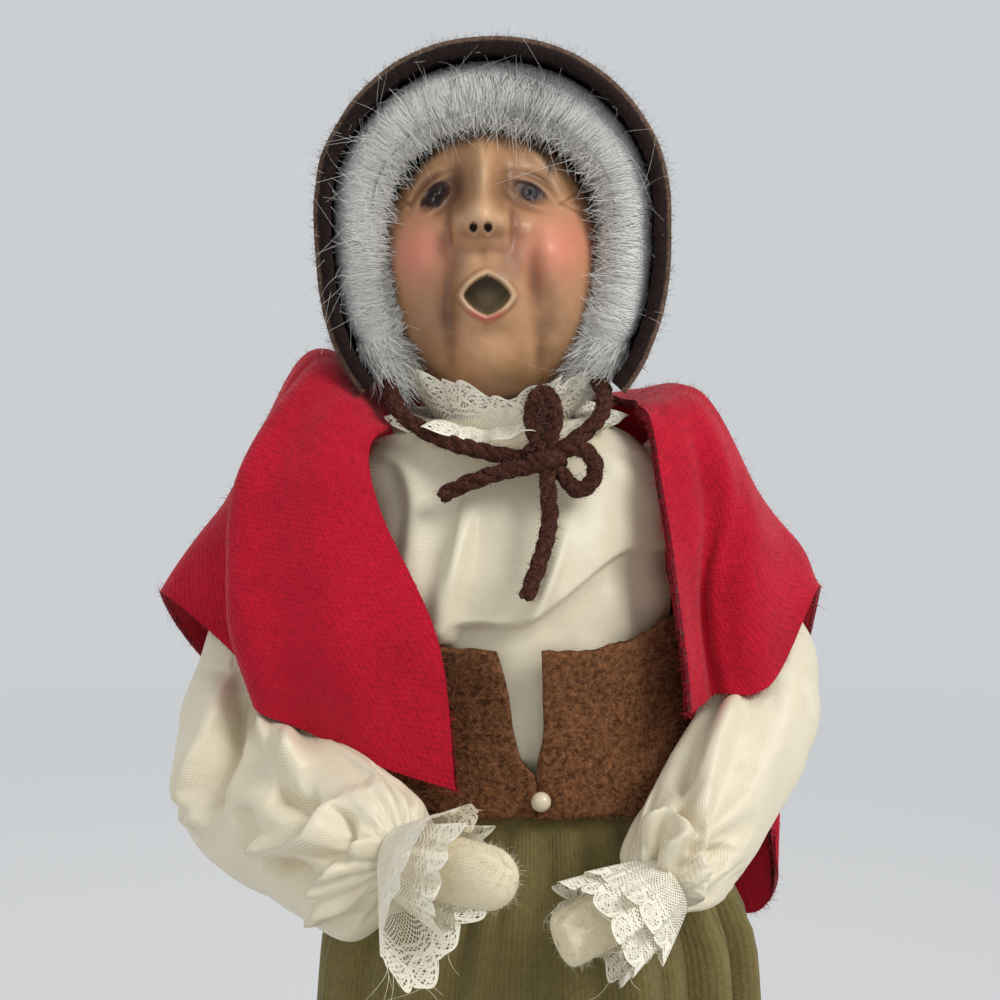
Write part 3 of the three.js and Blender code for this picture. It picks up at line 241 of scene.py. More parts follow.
def cloth(name, grid, thickness, round_u=False, normals=None):
    """A closed sheet of cloth: a skin half a thickness from the grid on each side, and rims between them."""
    nu, nv = grid.shape[:2]
    if normals is None:
        normals = grid_normals(grid, round_u)
    skins = [(grid + side * normals * thickness / 2).reshape(-1, 3) for side in (1, -1)]
    count = nu * nv
    faces = [grid_faces(nu, nv, round_u), grid_faces(nu, nv, round_u, count, flip=True)]
    i = np.arange(nu if round_u else nu - 1) * nv
    i2 = (i + nv) % count
    rims = [(i, i2, False), (i + nv - 1, i2 + nv - 1, True)]
    if not round_u:
        j = np.arange(nv - 1)
        rims += [(j, j + 1, True), (count - nv + j, count - nv + j + 1, False)]
    for a, b, turned in rims:
        rim = np.stack([b, a, a + count, b + count], axis=1)
        faces.append(rim[:, ::-1] if turned else rim)
    uv = cloth_lengths(grid).reshape(-1, 2)
    return make_piece(name, np.concatenate(skins), faces, np.concatenate([uv, uv]))


def frames_along(path):
    """Unit tangent and two steady side directions at each point of a path."""
    tangent = unit(np.gradient(path, axis=0))
    side = np.zeros_like(path)
    first = np.cross([0, 0, 1.0], tangent[0])
    side[0] = unit(first if np.linalg.norm(first) > 0.1 else np.cross([1.0, 0, 0], tangent[0]))
    for k in range(1, len(path)):
        moved = side[k - 1] - tangent[k] * side[k - 1].dot(tangent[k])
        side[k] = unit(moved)
    return tangent, side, np.cross(tangent, side)


def tube_grid(path, sides, radius):
    """Points [angle][place] round a path: radius(angle, place) from it, with place from 0 to 1."""
    _, side, up = frames_along(path)
    angle = np.arange(sides)[:, None] * TAU / sides
    place = np.linspace(0, 1, len(path))[None, :]
    r = np.broadcast_to(radius(angle, place), (sides, len(path)))[..., None]
    return path[None] + r * (np.cos(angle)[..., None] * side[None] + np.sin(angle)[..., None] * up[None])


def fibres(name, roots, ways, lengths, bends, radius, steps=4):
    """Many thin hairs: each starts at its root, sets off along its way and curls towards its bend."""
    t = np.linspace(0, 1, steps + 1)[None, :, None]
    lengths = np.asarray(lengths, float).reshape(-1, 1, 1)
    paths = roots[:, None] + lengths * (ways[:, None] * t + bends[:, None] * t * t)
    return strands(name, paths, radius)


def strands(name, paths, radius):
    """Thin three-sided tubes along paths [strand][step][xyz], finer towards their tips."""
    count, steps = paths.shape[:2]
    tangent = unit(np.gradient(paths, axis=1))
    helper = np.where(np.abs(tangent[..., 2:3]) > 0.9, vec(1, 0, 0), vec(0, 0, 1))
    side = unit(np.cross(tangent, helper))
    up = np.cross(tangent, side)
    thin = (radius * np.linspace(1, 0.35, steps))[None, :, None]
    rings = [paths + thin * (np.cos(a) * side + np.sin(a) * up) for a in (0, TAU / 3, 2 * TAU / 3)]
    points = np.stack(rings, axis=2)
    base = (np.arange(count)[:, None] * steps + np.arange(steps - 1)[None, :])[..., None] * 3
    k = np.arange(3)[None, None, :]
    k2 = (k + 1) % 3
    quads = np.stack([base + k, base + k2, base + 3 + k2, base + 3 + k], axis=-1).reshape(-1, 4)
    return make_piece(name, points.reshape(-1, 3), [quads])


def scatter(rng, count, size):
    """Random steps in space, as many as count."""
    return rng.normal(0, size, (count, 3))


SIMULATION_SCALE = 20  # the cloth is simulated this many times its size, where the solver is steady
SIMULATION_FRAMES = 20


def settle_cloth(grid, pressure, slack, cap):
    """Simulate a closed sleeve of cloth, held at both ends: blown out a little, with slack that wrinkles it.

    The simulation runs on every second point, and each point moves by cap millimetres at most.
    """
    coarse = grid[::2, ::2]
    nu, nv = coarse.shape[:2]
    trial = make_piece("cloth_trial", coarse.reshape(-1, 3) * SIMULATION_SCALE, [grid_faces(nu, nv, True)])
    held = trial.vertex_groups.new(name="held")
    held.add([i * nv + j for i in range(nu) for j in (0, 1, nv - 2, nv - 1)], 1.0, "REPLACE")
    settings = trial.modifiers.new("cloth", "CLOTH").settings
    settings.vertex_group_mass = "held"
    settings.use_pressure = True
    settings.uniform_pressure_force = pressure
    settings.shrink_min = -slack
    settings.effector_weights.gravity = 0
    scene = bpy.context.scene
    for frame_number in range(1, SIMULATION_FRAMES + 1):
        scene.frame_set(frame_number)
    settled = trial.evaluated_get(bpy.context.evaluated_depsgraph_get()).data
    places = np.empty(nu * nv * 3)
    settled.vertices.foreach_get("co", places)
    scene.frame_set(1)
    bpy.data.objects.remove(trial)
    move = places.reshape(nu, nv, 3) / MM / SIMULATION_SCALE - coarse
    move = move * np.minimum(1, cap / np.maximum(np.linalg.norm(move, axis=2, keepdims=True), 1e-9))
    around, length = np.arange(grid.shape[0]) / 2, np.linspace(0, nv - 1, grid.shape[1])
    low, left = around.astype(int) % nu, np.minimum(length.astype(int), nv - 2)
    rows = mix(move[low], move[(low + 1) % nu], (around % 1)[:, None, None])
    return grid + mix(rows[:, left], rows[:, left + 1], (length - left)[None, :, None])


# Materials


def node(tree, kind, **inputs):
    """A new shader node, with its properties and the plain values of its inputs set."""
    made = tree.nodes.new(kind)
    for key, value in inputs.items():
        if hasattr(made, key):
            setattr(made, key, value)
        else:
            made.inputs[key.replace("_", " ")].default_value = value
    return made


def feed(tree, socket, value):
    """Put a number, a colour or another node's output into a socket."""
    if isinstance(value, (int, float)):
        socket.default_value = value
    elif isinstance(value, tuple):
        socket.default_value = (*value, 1)
    else:
        tree.links.new(value, socket)


def math_node(tree, operation, a, b=None):
    """The result of one operation on numbers or on other nodes' outputs."""
    made = node(tree, "ShaderNodeMath", operation=operation)
    feed(tree, made.inputs[0], a)
    if b is not None:
        feed(tree, made.inputs[1], b)
    return made.outputs[0]


def weighted(tree, first, share, second, second_share):
    """The sum of two values, each times its share."""
    parts = [math_node(tree, "MULTIPLY", *pair) for pair in ((first, share), (second, second_share))]
    return math_node(tree, "ADD", *parts)


def mix_colours(tree, factor, first, second, blend_type="MIX"):
    """Two colours mixed by a factor."""
    made = node(tree, "ShaderNodeMix", data_type="RGBA", blend_type=blend_type)
    for place, value in ((0, factor), (6, first), (7, second)):
        feed(tree, made.inputs[place], value)
    return made.outputs[2]


def map_range(tree, value, **limits):
    """A value moved from one range to another."""
    made = node(tree, "ShaderNodeMapRange", **limits)
    tree.links.new(value, made.inputs["Value"])
    return made.outputs[0]


def noise_at(tree, place, **inputs):
    """A noise node that is read at a place."""
    noise = node(tree, "ShaderNodeTexNoise", **inputs)
    tree.links.new(place, noise.inputs["Vector"])
    return noise


def new_group(name, inputs, outputs):
    """A node group with inputs (label, kind, default) and plain number outputs: the group, its ends."""
    group = bpy.data.node_groups.new(name, "ShaderNodeTree")
    for label, kind, default in inputs:
        socket = group.interface.new_socket(label, in_out="INPUT", socket_type=kind)
        if default is not None:
            socket.default_value = default
    for label in outputs:
        group.interface.new_socket(label, in_out="OUTPUT", socket_type="NodeSocketFloat")
    return group, group.nodes.new("NodeGroupInput"), group.nodes.new("NodeGroupOutput")


def weave_group():
    """Twill or plain threads from distances in the cloth: Height is a thread's crown."""
    group, given, made = new_group(
        "weave",
        [
            ("Vector", "NodeSocketVector", None),
            ("Pitch", "NodeSocketFloat", 0.5),
            ("Slant", "NodeSocketFloat", 1.0),
            ("Cross", "NodeSocketFloat", 0.18),
        ],
        ["Height"],
    )
    split = node(group, "ShaderNodeSeparateXYZ")
    group.links.new(given.outputs["Vector"], split.inputs[0])
    x = math_node(group, "DIVIDE", split.outputs[0], given.outputs["Pitch"])
    y = math_node(group, "DIVIDE", split.outputs[1], given.outputs["Pitch"])
    shifted = math_node(group, "ADD", x, math_node(group, "MULTIPLY", y, given.outputs["Slant"]))
    diagonal = math_node(group, "SINE", math_node(group, "MULTIPLY", shifted, TAU))
    thread = math_node(group, "SINE", math_node(group, "MULTIPLY", y, TAU))
    crossed = math_node(group, "MULTIPLY", thread, given.outputs["Cross"])
    both = math_node(group, "ADD", math_node(group, "MULTIPLY", diagonal, 0.32), crossed)
    feed(group, made.inputs["Height"], math_node(group, "ADD", both, 0.5))
    return group


def fibre_group():
    """Matted fibres: streaks of noise laid over each other in several directions."""
    group, given, made = new_group(
        "matted_fibres",
        [("Vector", "NodeSocketVector", None), ("Scale", "NodeSocketFloat", 1500.0)],
        ["Streaks", "Patches"],
    )
    layers = []
    for turn, stretch in ((0.3, 0.16), (1.9, 0.2), (1.1, 0.13)):
        mapping = node(group, "ShaderNodeMapping")
        mapping.inputs["Rotation"].default_value = (turn, 0.7 * turn, 1.3 * turn)
        mapping.inputs["Scale"].default_value = (1, stretch, 1)
        group.links.new(given.outputs["Vector"], mapping.inputs["Vector"])
        noise = noise_at(group, mapping.outputs[0], Detail=2.0, Roughness=0.6)
        group.links.new(given.outputs["Scale"], noise.inputs["Scale"])
        layers.append(noise.outputs[0])
    most = math_node(group, "MAXIMUM", math_node(group, "MAXIMUM", layers[0], layers[1]), layers[2])
    group.links.new(most, made.inputs["Streaks"])
    coarse = noise_at(group, given.outputs["Vector"], Detail=3.0, Roughness=0.55)
    group.links.new(math_node(group, "MULTIPLY", given.outputs["Scale"], 0.09), coarse.inputs["Scale"])
    group.links.new(coarse.outputs[0], made.inputs["Patches"])
    return group


SCALLOP = 4.4  # width of one scallop of lace
NET_MESH = 0.75  # and of one mesh of its net


def lace_group():
    """Bobbin lace with a flower in each scallop, over net.

    Vector is (scallops along the lace, millimetres from its outer edge). Thread is 1 on thread, 0 in a hole.
    """
    group, given, made = new_group("lace", [("Vector", "NodeSocketVector", None)], ["Thread", "Height"])

    def do(operation, a, b=None):
        return math_node(group, operation, a, b)

    def near(value, middle, half_width):
        return do("LESS_THAN", do("ABSOLUTE", do("SUBTRACT", value, middle)), half_width)

    split = node(group, "ShaderNodeSeparateXYZ")
    group.links.new(given.outputs["Vector"], split.inputs[0])
    across, down = split.outputs[0], split.outputs[1]
    local_x = do("MULTIPLY", do("SUBTRACT", do("FRACT", across), 0.5), SCALLOP)
    local_y = do("SUBTRACT", down, 2.1)
    away = do("SQRT", do("ADD", do("MULTIPLY", local_x, local_x), do("MULTIPLY", local_y, local_y)))
    turn = do("ARCTAN2", local_y, local_x)
    petal = do("ABSOLUTE", do("COSINE", do("MULTIPLY", turn, 2.5)))
    petal_reach = do("ADD", 0.85, do("MULTIPLY", petal, 0.75))
    ribs = do("GREATER_THAN", do("SINE", do("MULTIPLY", do("ADD", down, across), 16.0)), -0.75)
    petals = do("MULTIPLY", do("LESS_THAN", away, petal_reach), do("GREATER_THAN", away, 0.32))
    flower = do("MULTIPLY", petals, ribs)
    outline = near(away, 1.95, 0.28)
    ladder = do("MAXIMUM", near(down, 4.6, 0.22), near(down, 5.5, 0.22))
    rim = do("LESS_THAN", down, 0.42)
    lines = []
    for sign in ("ADD", "SUBTRACT"):
        slanted = do(sign, do("MULTIPLY", across, SCALLOP / NET_MESH), do("DIVIDE", down, NET_MESH))
        wave = do("ABSOLUTE", do("SINE", do("MULTIPLY", slanted, np.pi)))
        lines.append(do("LESS_THAN", wave, 0.52))
    net = do("MAXIMUM", lines[0], lines[1])
    worked = do("MAXIMUM", do("MAXIMUM", flower, outline), do("MAXIMUM", ladder, rim))
    feed(group, made.inputs["Thread"], do("MAXIMUM", net, worked))
    feed(group, made.inputs["Height"], weighted(group, net, 0.3, worked, 0.7))
    return group


WEAVE = weave_group()
FIBRES = fibre_group()
LACE = lace_group()


def start_material(name, colour, roughness, sheen=0.0, metallic=0.0):
    """A material with its shader, its two coordinate sources and plain values on the shader's own sockets."""
    made = bpy.data.materials.new(name)
    made.use_nodes = True
    tree = made.node_tree
    shader = tree.nodes["Principled BSDF"]
    shader.inputs["Base Color"].default_value = (*colour, 1)
    shader.inputs["Roughness"].default_value = roughness
    shader.inputs["Metallic"].default_value = metallic
    shader.inputs["Sheen Weight"].default_value = sheen
    shader.inputs["Sheen Roughness"].default_value = 0.5
    shader.inputs["Specular IOR Level"].default_value = 0.15 if roughness > 0.8 else 0.5
    coordinates = tree.nodes.new("ShaderNodeTexCoord")
    cloth_map = node(tree, "ShaderNodeUVMap", uv_map="cloth_mm")
    return made, tree, shader, coordinates.outputs["Object"], cloth_map.outputs["UV"]


def use_group(tree, group, vector, **values):
    """A node group placed in a material with its own values: its outputs."""
    made = tree.nodes.new("ShaderNodeGroup")
    made.node_tree = group
    tree.links.new(vector, made.inputs["Vector"])
    for key, value in values.items():
        made.inputs[key].default_value = value
    return made.outputs


def add_bump(tree, shader, height, depth, strength=0.6):
    """Let a height from 0 to 1 stand out of the surface by the depth in millimetres."""
    bump = node(tree, "ShaderNodeBump", Strength=strength, Distance=depth * MM)
    tree.links.new(height, bump.inputs["Height"])
    tree.links.new(bump.outputs[0], shader.inputs["Normal"])


def tint(tree, shader, factor, dark, light):
    """The base colour runs from dark to light with the factor."""
    tree.links.new(mix_colours(tree, factor, dark, light), shader.inputs["Base Color"])


def woven(
    name, dark, light, pitch, slant, cross, roughness, depth, fuzz, sheen=0.1, fuzz_scale=2200.0,
):
    """Woven cloth: threads from the weave, broken up by matted fibres."""
    made, tree, shader, place, cloth_map = start_material(name, light, roughness, sheen)
    threads = use_group(tree, WEAVE, cloth_map, Pitch=pitch, Slant=slant, Cross=cross)["Height"]
    fibre = use_group(tree, FIBRES, place, Scale=fuzz_scale)
    height = weighted(tree, threads, 1 - fuzz, fibre["Streaks"], fuzz)
    tint(tree, shader, weighted(tree, height, 0.75, fibre["Patches"], 0.35), dark, light)
    add_bump(tree, shader, height, depth)
    return made


def felted(name, dark, light, scale, depth, roughness=1.0, sheen=0.0):
    """Felt: fibres matted every way, with paler ones among them."""
    made, tree, shader, place, _ = start_material(name, light, roughness, sheen)
    fibre = use_group(tree, FIBRES, place, Scale=scale)
    pale = map_range(tree, fibre["Streaks"], From_Min=0.45, From_Max=0.78)
    tint(tree, shader, weighted(tree, pale, 0.75, fibre["Patches"], 0.3), dark, light)
    add_bump(tree, shader, fibre["Streaks"], depth, 0.8)
    return made


def hair_material(name, dark, light):
    """Hair or loose fibre, a little glossy, with its colour changing along it."""
    made, tree, shader, place, _ = start_material(name, light, 0.42)
    tint(tree, shader, noise_at(tree, place, Scale=900.0, Detail=2.0).outputs[0], dark, light)
    shader.inputs["Specular IOR Level"].default_value = 0.35
    return made


def lace_material():
    """Ivory thread where the lace pattern has thread, and nothing in its holes."""
    made, tree, shader, place, cloth_map = start_material("ivory_lace", (0.8, 0.73, 0.55), 0.75, 0.1)
    lace = use_group(tree, LACE, cloth_map)
    noise = noise_at(tree, place, Scale=700.0, Detail=2.0).outputs[0]
    tint(tree, shader, noise, (0.8, 0.73, 0.56), (1.0, 0.96, 0.84))
    tree.links.new(lace["Thread"], shader.inputs["Alpha"])
    add_bump(tree, shader, lace["Height"], 0.15)
    return made


def painted_material():
    """Satin paint on clay: colours painted on the mesh, finely brushed, and matt where they are darkest."""
    made, tree, shader, place, _ = start_material("painted_clay", (0.6, 0.36, 0.2), 0.4)
    paint = node(tree, "ShaderNodeVertexColor", layer_name="paint").outputs[0]
    noise = noise_at(tree, place, Scale=420.0, Detail=5.0, Roughness=0.65).outputs[0]
    brushed = mix_colours(tree, noise, (0.45, 0.36, 0.3), (1.0, 1.0, 1.0))
    tree.links.new(mix_colours(tree, 0.35, paint, brushed, "MULTIPLY"), shader.inputs["Base Color"])
    gloss = map_range(tree, noise, To_Min=0.32, To_Max=0.55)
    bright = node(tree, "ShaderNodeRGBToBW")
    tree.links.new(paint, bright.inputs[0])
    matt = map_range(tree, bright.outputs[0], From_Min=0.02, From_Max=0.14, To_Min=0.5, To_Max=0.0)
    tree.links.new(math_node(tree, "ADD", gloss, matt), shader.inputs["Roughness"])
    for socket, value in (("Specular IOR Level", 0.4), ("Coat Weight", 0.08), ("Coat Roughness", 0.25)):
        shader.inputs[socket].default_value = value
    add_bump(tree, shader, noise, 0.12, 0.35)
    return made


def grained(name, dark, light, roughness, scale=300.0, depth=0.06, metallic=0.0):
    """Painted wood, clay or drawn wire: long noise for grain and brush marks."""
    made, tree, shader, place, _ = start_material(name, light, roughness, 0.0, metallic)
    mapping = node(tree, "ShaderNodeMapping")
    mapping.inputs["Scale"].default_value = (0.12, 1, 1)
    tree.links.new(place, mapping.inputs["Vector"])
    noise = noise_at(tree, mapping.outputs[0], Scale=scale, Detail=4.0).outputs[0]
    tint(tree, shader, noise, dark, light)
    gloss = map_range(tree, noise, To_Min=roughness - 0.1, To_Max=roughness + 0.12)
    tree.links.new(gloss, shader.inputs["Roughness"])
    add_bump(tree, shader, noise, depth, 0.4)
    return made


RED_WOOL = woven(
    "red_wool", (0.09, 0.001, 0.004), (0.7, 0.009, 0.036), pitch=0.8, slant=0.3, cross=0.3,
    roughness=1.0, depth=0.8, fuzz=0.86, sheen=0.12, fuzz_scale=1000.0,
)
SATEEN = woven(
    "cream_sateen", (0.56, 0.47, 0.31), (0.9, 0.83, 0.64), pitch=0.42, slant=0.6, cross=0.12,
    roughness=0.42, depth=0.075, fuzz=0.3, sheen=0.05,
)
COTTON = woven(
    "white_cotton", (0.66, 0.64, 0.58), (0.88, 0.87, 0.82), pitch=0.45, slant=0.0, cross=0.3,
    roughness=0.85, depth=0.08, fuzz=0.3, sheen=0.05,
)
OLIVE_RIB = woven(
    "olive_rib", (0.02, 0.015, 0.003), (0.27, 0.215, 0.08), pitch=0.9, slant=0.0, cross=0.04,
    roughness=1.0, depth=0.6, fuzz=0.78, fuzz_scale=900.0,
)
JERSEY = woven(
    "jersey", (0.6, 0.5, 0.31), (0.88, 0.8, 0.58), pitch=0.44, slant=0.0, cross=0.12,
    roughness=0.95, depth=0.12, fuzz=0.6, sheen=0.05,
)
WADDING = felted(
    "wadding", (0.6, 0.57, 0.5), (0.86, 0.84, 0.78), scale=900.0, depth=0.3, roughness=0.95, sheen=0.35,
)
BROWN_FELT = felted("brown_felt", (0.03, 0.008, 0.003), (0.32, 0.135, 0.058), scale=1000.0, depth=0.6)
BONNET_FELT = felted("bonnet_felt", (0.06, 0.034, 0.022), (0.24, 0.155, 0.11), scale=1300.0, depth=0.5)
DARK_VELVET = felted("dark_velvet", (0.006, 0.003, 0.0035), (0.035, 0.02, 0.018), scale=2600.0, depth=0.2)
CHENILLE = felted("chenille", (0.012, 0.004, 0.003), (0.13, 0.046, 0.03), scale=1500.0, depth=0.4)
MOHAIR = hair_material("mohair", (0.76, 0.76, 0.71), (1.0, 1.0, 0.97))
# The white hair's colour painted darker, as shade: the skins under the strands, which show between the hairs.
SHADED_HAIR = hair_material("shaded_hair", (0.3, 0.29, 0.26), (0.62, 0.61, 0.56))
RED_FIBRE = hair_material("red_fibre", (0.2, 0.003, 0.01), (0.6, 0.012, 0.035))
BROWN_FIBRE = hair_material("brown_fibre", (0.16, 0.06, 0.025), (0.62, 0.33, 0.18))
FELT_FIBRE = hair_material("felt_fibre", (0.06, 0.032, 0.02), (0.26, 0.16, 0.11))
YARN_FIBRE = hair_material("yarn_fibre", (0.03, 0.01, 0.007), (0.3, 0.13, 0.09))
COTTON_FIBRE = hair_material("cotton_fibre", (0.6, 0.52, 0.36), (0.9, 0.84, 0.66))
IVORY_LACE = lace_material()
PAINT = painted_material()
BLACK_PAINT = grained("black_paint", (0.006, 0.006, 0.006), (0.022, 0.02, 0.019), 0.42)
SHOE_PAINT = grained("shoe_paint", (0.004, 0.004, 0.004), (0.016, 0.015, 0.015), 0.3, 500.0)
STEEL = grained("steel_wire", (0.25, 0.25, 0.26), (0.5, 0.5, 0.5), 0.35, 900.0, 0.02, 1.0)
PEARL = grained("pearl", (0.62, 0.5, 0.33), (0.82, 0.72, 0.53), 0.2, 400.0, 0.01)


def finish_piece(piece, material, body=None, replaces=()):
    """Give a piece its material and slot, the body that carries it and the nodes that it stands for."""
    piece.data.materials.append(material)
    if body:
        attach(piece, body)
    if replaces:
        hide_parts(*replaces)
    return piece


# Camera, lights and floor

CAMERA_PLACE = vec(-5.5, -400, 285)
CAMERA_WAY = vec(0, 400, -35)
CAMERA_LENS = 83.7
CAMERA_SENSOR = 36
LIT_PLACE = vec(0, 0, 230)  # what the lights are turned towards
# Each light's place, its width in metres and its power in watts
LIGHTS = {
    "window_light": ((760, -560, 950), 0.5, 8.2),
    "fill_light": ((-900, -700, 350), 0.9, 1.3),
    "back_light": ((-200, 850, 900), 0.8, 3.6),
}
SKY_COLOUR = (0.94, 0.97, 1.0, 1)
SKY_STRENGTH = 0.64


def put_on_stage(name, data, place, way):
    """A camera or lamp at a place, turned along a way."""
    holder = bpy.data.objects.new(name, data)
    holder.location = place * MM
    holder.rotation_euler = Vector(way).to_track_quat("-Z", "Y").to_euler()
    bpy.context.scene.collection.objects.link(holder)
    return holder


def set_stage():
    """The photograph's camera, a window's light from the upper right, and a pale room."""
    scene = bpy.context.scene
    camera = bpy.data.cameras.new("camera")
    camera.lens = CAMERA_LENS
    camera.sensor_width = CAMERA_SENSOR
    camera.clip_start = 0.01
    scene.camera = put_on_stage("camera", camera, CAMERA_PLACE, CAMERA_WAY)
    for name, (place, size, power) in LIGHTS.items():
        light = bpy.data.lights.new(name, "AREA")
        light.size = size
        light.energy = power
        put_on_stage(name, light, vec(*place), LIT_PLACE - vec(*place))
    world = bpy.data.worlds.new("studio")
    world.use_nodes = True
    background = world.node_tree.nodes["Background"]
    background.inputs["Color"].default_value = SKY_COLOUR
    background.inputs["Strength"].default_value = SKY_STRENGTH
    scene.world = world
    scene.view_settings.view_transform = "Standard"
    make_floor()


FLOOR_CLEAR = 0.32  # metres from the middle within which the floor is solid
FLOOR_REACH = 1.5  # and where it has faded into the background


def make_floor():
    """A pale round floor that fades out, so that no horizon shows."""
    angle = np.arange(64) * TAU / 64
    ring = point(FLOOR_REACH * np.cos(angle), FLOOR_REACH * np.sin(angle), -0.05 * MM)
    mesh = bpy.data.meshes.new("floor")
    mesh.from_pydata(ring.tolist(), [], [list(range(64))])
    floor = bpy.data.objects.new("floor", mesh)
    bpy.context.scene.collection.objects.link(floor)
    pale, tree, shader, place, _ = start_material("pale_floor", (0.62, 0.62, 0.62), 0.9)
    away = node(tree, "ShaderNodeVectorMath", operation="LENGTH")
    tree.links.new(place, away.inputs[0])
    reach = dict(From_Min=FLOOR_CLEAR, From_Max=FLOOR_REACH, To_Min=1.0, To_Max=0.0)
    fade = map_range(tree, away.outputs["Value"], interpolation_type="SMOOTHSTEP", **reach)
    tree.links.new(fade, shader.inputs["Alpha"])
    mesh.materials.append(pale)


# Bonnet ties: two lengths of chenille yarn that meet in a bow

TIE_RADIUS = 1.35
KNOT = vec(1.8, -21.5, 258.6)
KNOT_TURNS = 1.6
RIGHT_TIE = [
    (-23.9, -10.8, 271.2), (-23.4, -12.6, 268.6), (-21.8, -14.6, 265.6), (-17.6, -17.2, 262.8),
    (-13.2, -19.2, 261), (-9, -20.6, 260), (-4, -21.4, 259), KNOT + vec(0, 0.3, 0.3), (2.6, -22.5, 262),
    (3.4, -23, 265.2), (2.9, -23.2, 268.2), (1.5, -23.2, 269.4), (0.1, -23, 268.2), (-0.3, -22.7, 265.2),
    (0.4, -22.4, 261.8), KNOT + vec(0, -0.9, -0.4), (-2.6, -23.4, 257.2), (-6, -23.4, 256.4),
    (-11, -22.4, 254.6), (-15.3, -21.2, 252.4),
]
LEFT_TIE = [
    (10.6, -10.8, 271.2), (11.8, -12.6, 269.4), (11.8, -14.6, 267.6), (11.3, -16.6, 265.8),
    (9.4, -18.8, 263.6), (6.0, -20.6, 261.1), KNOT + vec(0.6, 0.2, 0.2), (5.2, -22, 260.2),
    (8.2, -22.4, 260.1), (10.0, -22.5, 257.6), (9.2, -22.5, 254.6), (7.0, -22.4, 253.6), (5.2, -22.3, 255.4),
    KNOT + vec(0.8, -1.0, -0.6), (2.3, -23.6, 254.4), (2.6, -25.3, 250), (2.2, -26.3, 247), (1.4, -27, 244),
    (0.2, -27.7, 240.4), (-1.4, -28.4, 236.4),
]


def path_length(path):
    """The sum of a path's steps."""
    return float(np.linalg.norm(np.diff(path, axis=0), axis=1).sum())


def route_curve(route, steps):
    """A smooth path of so many points through a route's places."""
    return through(np.array([np.asarray(place, float) for place in route]), np.linspace(0, 1, steps))


def plied(name, path, radius, turns):
    """Three plies twisted round each other along a path, each a little over half as thick as the yarn."""
    _, side, up = frames_along(path)
    place = np.linspace(0, 1, len(path))[:, None]
    blunt = smooth(-0.01, 0.012, place[:, 0]) * smooth(1.01, 0.985, place[:, 0])
    sides = 14
    points, faces = [], []

    def thickness(angle, _):
        return 0.6 * radius * blunt[None, :] * (1 + 0.05 * np.sin(3 * angle))

    for ply in range(3):
        turn = TAU * (turns * place + ply / 3)
        middle = path + 0.48 * radius * (np.cos(turn) * side + np.sin(turn) * up)
        points.append(tube_grid(middle, sides, thickness).reshape(-1, 3))
        faces.append(grid_faces(sides, len(path), True, start=sides * len(path) * ply))
    return make_piece(name, np.concatenate(points), faces)


def yarn(name, route, seed):
    """Chenille yarn of three twisted plies, with short pile standing out of it all round."""
    path = route_curve(route, 260)
    length = path_length(path)
    tie = plied(name, path, TIE_RADIUS, length / 7.5)
    finish_piece(tie, CHENILLE, "figure")
    rng = np.random.default_rng(seed)
    count = int(length * 40)
    k = rng.integers(0, len(path) - 1, count)
    _, side, up = frames_along(path)
    turn = rng.uniform(0, TAU, count)[:, None]
    out = np.cos(turn) * side[k] + np.sin(turn) * up[k]
    roots = path[k] + out * TIE_RADIUS * 0.8
    ways = unit(out + scatter(rng, count, 0.5))
    bends = scatter(rng, count, 0.45)
    pile = fibres(name + "_pile", roots, ways, rng.uniform(0.25, 0.75, count), bends, 0.06, 3)
    finish_piece(pile, YARN_FIBRE, "figure")
    return tie, pile, path


def make_ties():
    """Each tie is one cord from a corner of the bonnet through the knot to its free end."""
    for name, route, nodes, seed in (
        ("bonnet_tie_right", RIGHT_TIE, ("tie_right", "bow_tail_right", "bow_loop_upper"), 11),
        ("bonnet_tie_left", LEFT_TIE, ("tie_left", "bow_tail_front", "bow_loop_left"), 12),
    ):
        tie, pile, path = yarn(name, route, seed)
        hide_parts(*nodes)


def make_tuft():
    """The upper loop of the bow is brushed out, so that its pile closes the hole."""
    rng = np.random.default_rng(14)
    count = 1100
    loop = route_curve(RIGHT_TIE, 600)
    loop = loop[(loop[:, 2] > KNOT[2] + 1.5) & (np.abs(loop[:, 0] - KNOT[0]) < 2.6)]
    k = rng.integers(0, len(loop), count)
    middle = loop.mean(0) + scatter(rng, count, 0.8) * vec(1, 0.5, 2)
    ways = unit(middle - loop[k] + scatter(rng, count, 1.1))
    roots = loop[k] + ways * 0.5
    tuft = fibres("bow_tuft", roots, ways, rng.uniform(1.0, 2.6, count), scatter(rng, count, 0.4), 0.08, 3)
    finish_piece(tuft, YARN_FIBRE, "figure")


def make_knot():
    """The yarn wound round the crossing of the ties, in a short helix that is flatter from front to back."""
    turn = np.linspace(0, TAU * KNOT_TURNS, 90)
    rise = 2.2 * (turn / (TAU * KNOT_TURNS) - 0.5)
    path = KNOT + point(2.3 * np.cos(turn), 1.9 * np.sin(turn) - 0.4, rise)
    knot = plied("bow_knot_yarn", path, 1.5, 4)
    finish_piece(knot, CHENILLE, "figure", ("bow_knot",))


# Body shape, as the clothes lie on it: height, sideways lean, half width, half depth

BODY = smooth_rows([
    [148, 0.8, 13, 11],
    [156, 0.8, 21, 17],
    [176, 0.8, 23.5, 19],
    [200, 1, 23, 18.4],
    [214, 0, 22.4, 18.2],
    [232, -2.6, 23.2, 19],
    [246, -4.2, 24, 18.6],
    [255, -5, 22, 15.5],
    [261, -5.4, 14.2, 11.5],
    [266.2, -6, 7, 7.5],
])
SQUARENESS = 2.4


def oval(angle, x, half_width, half_depth, z):
    """A place on an oval with full corners: its cosine and sine are taken to a power below 1."""

    def fuller(s):
        return np.sign(s) * np.abs(s) ** (2 / SQUARENESS)

    return point(x + half_width * fuller(np.cos(angle)), half_depth * fuller(np.sin(angle)), z)


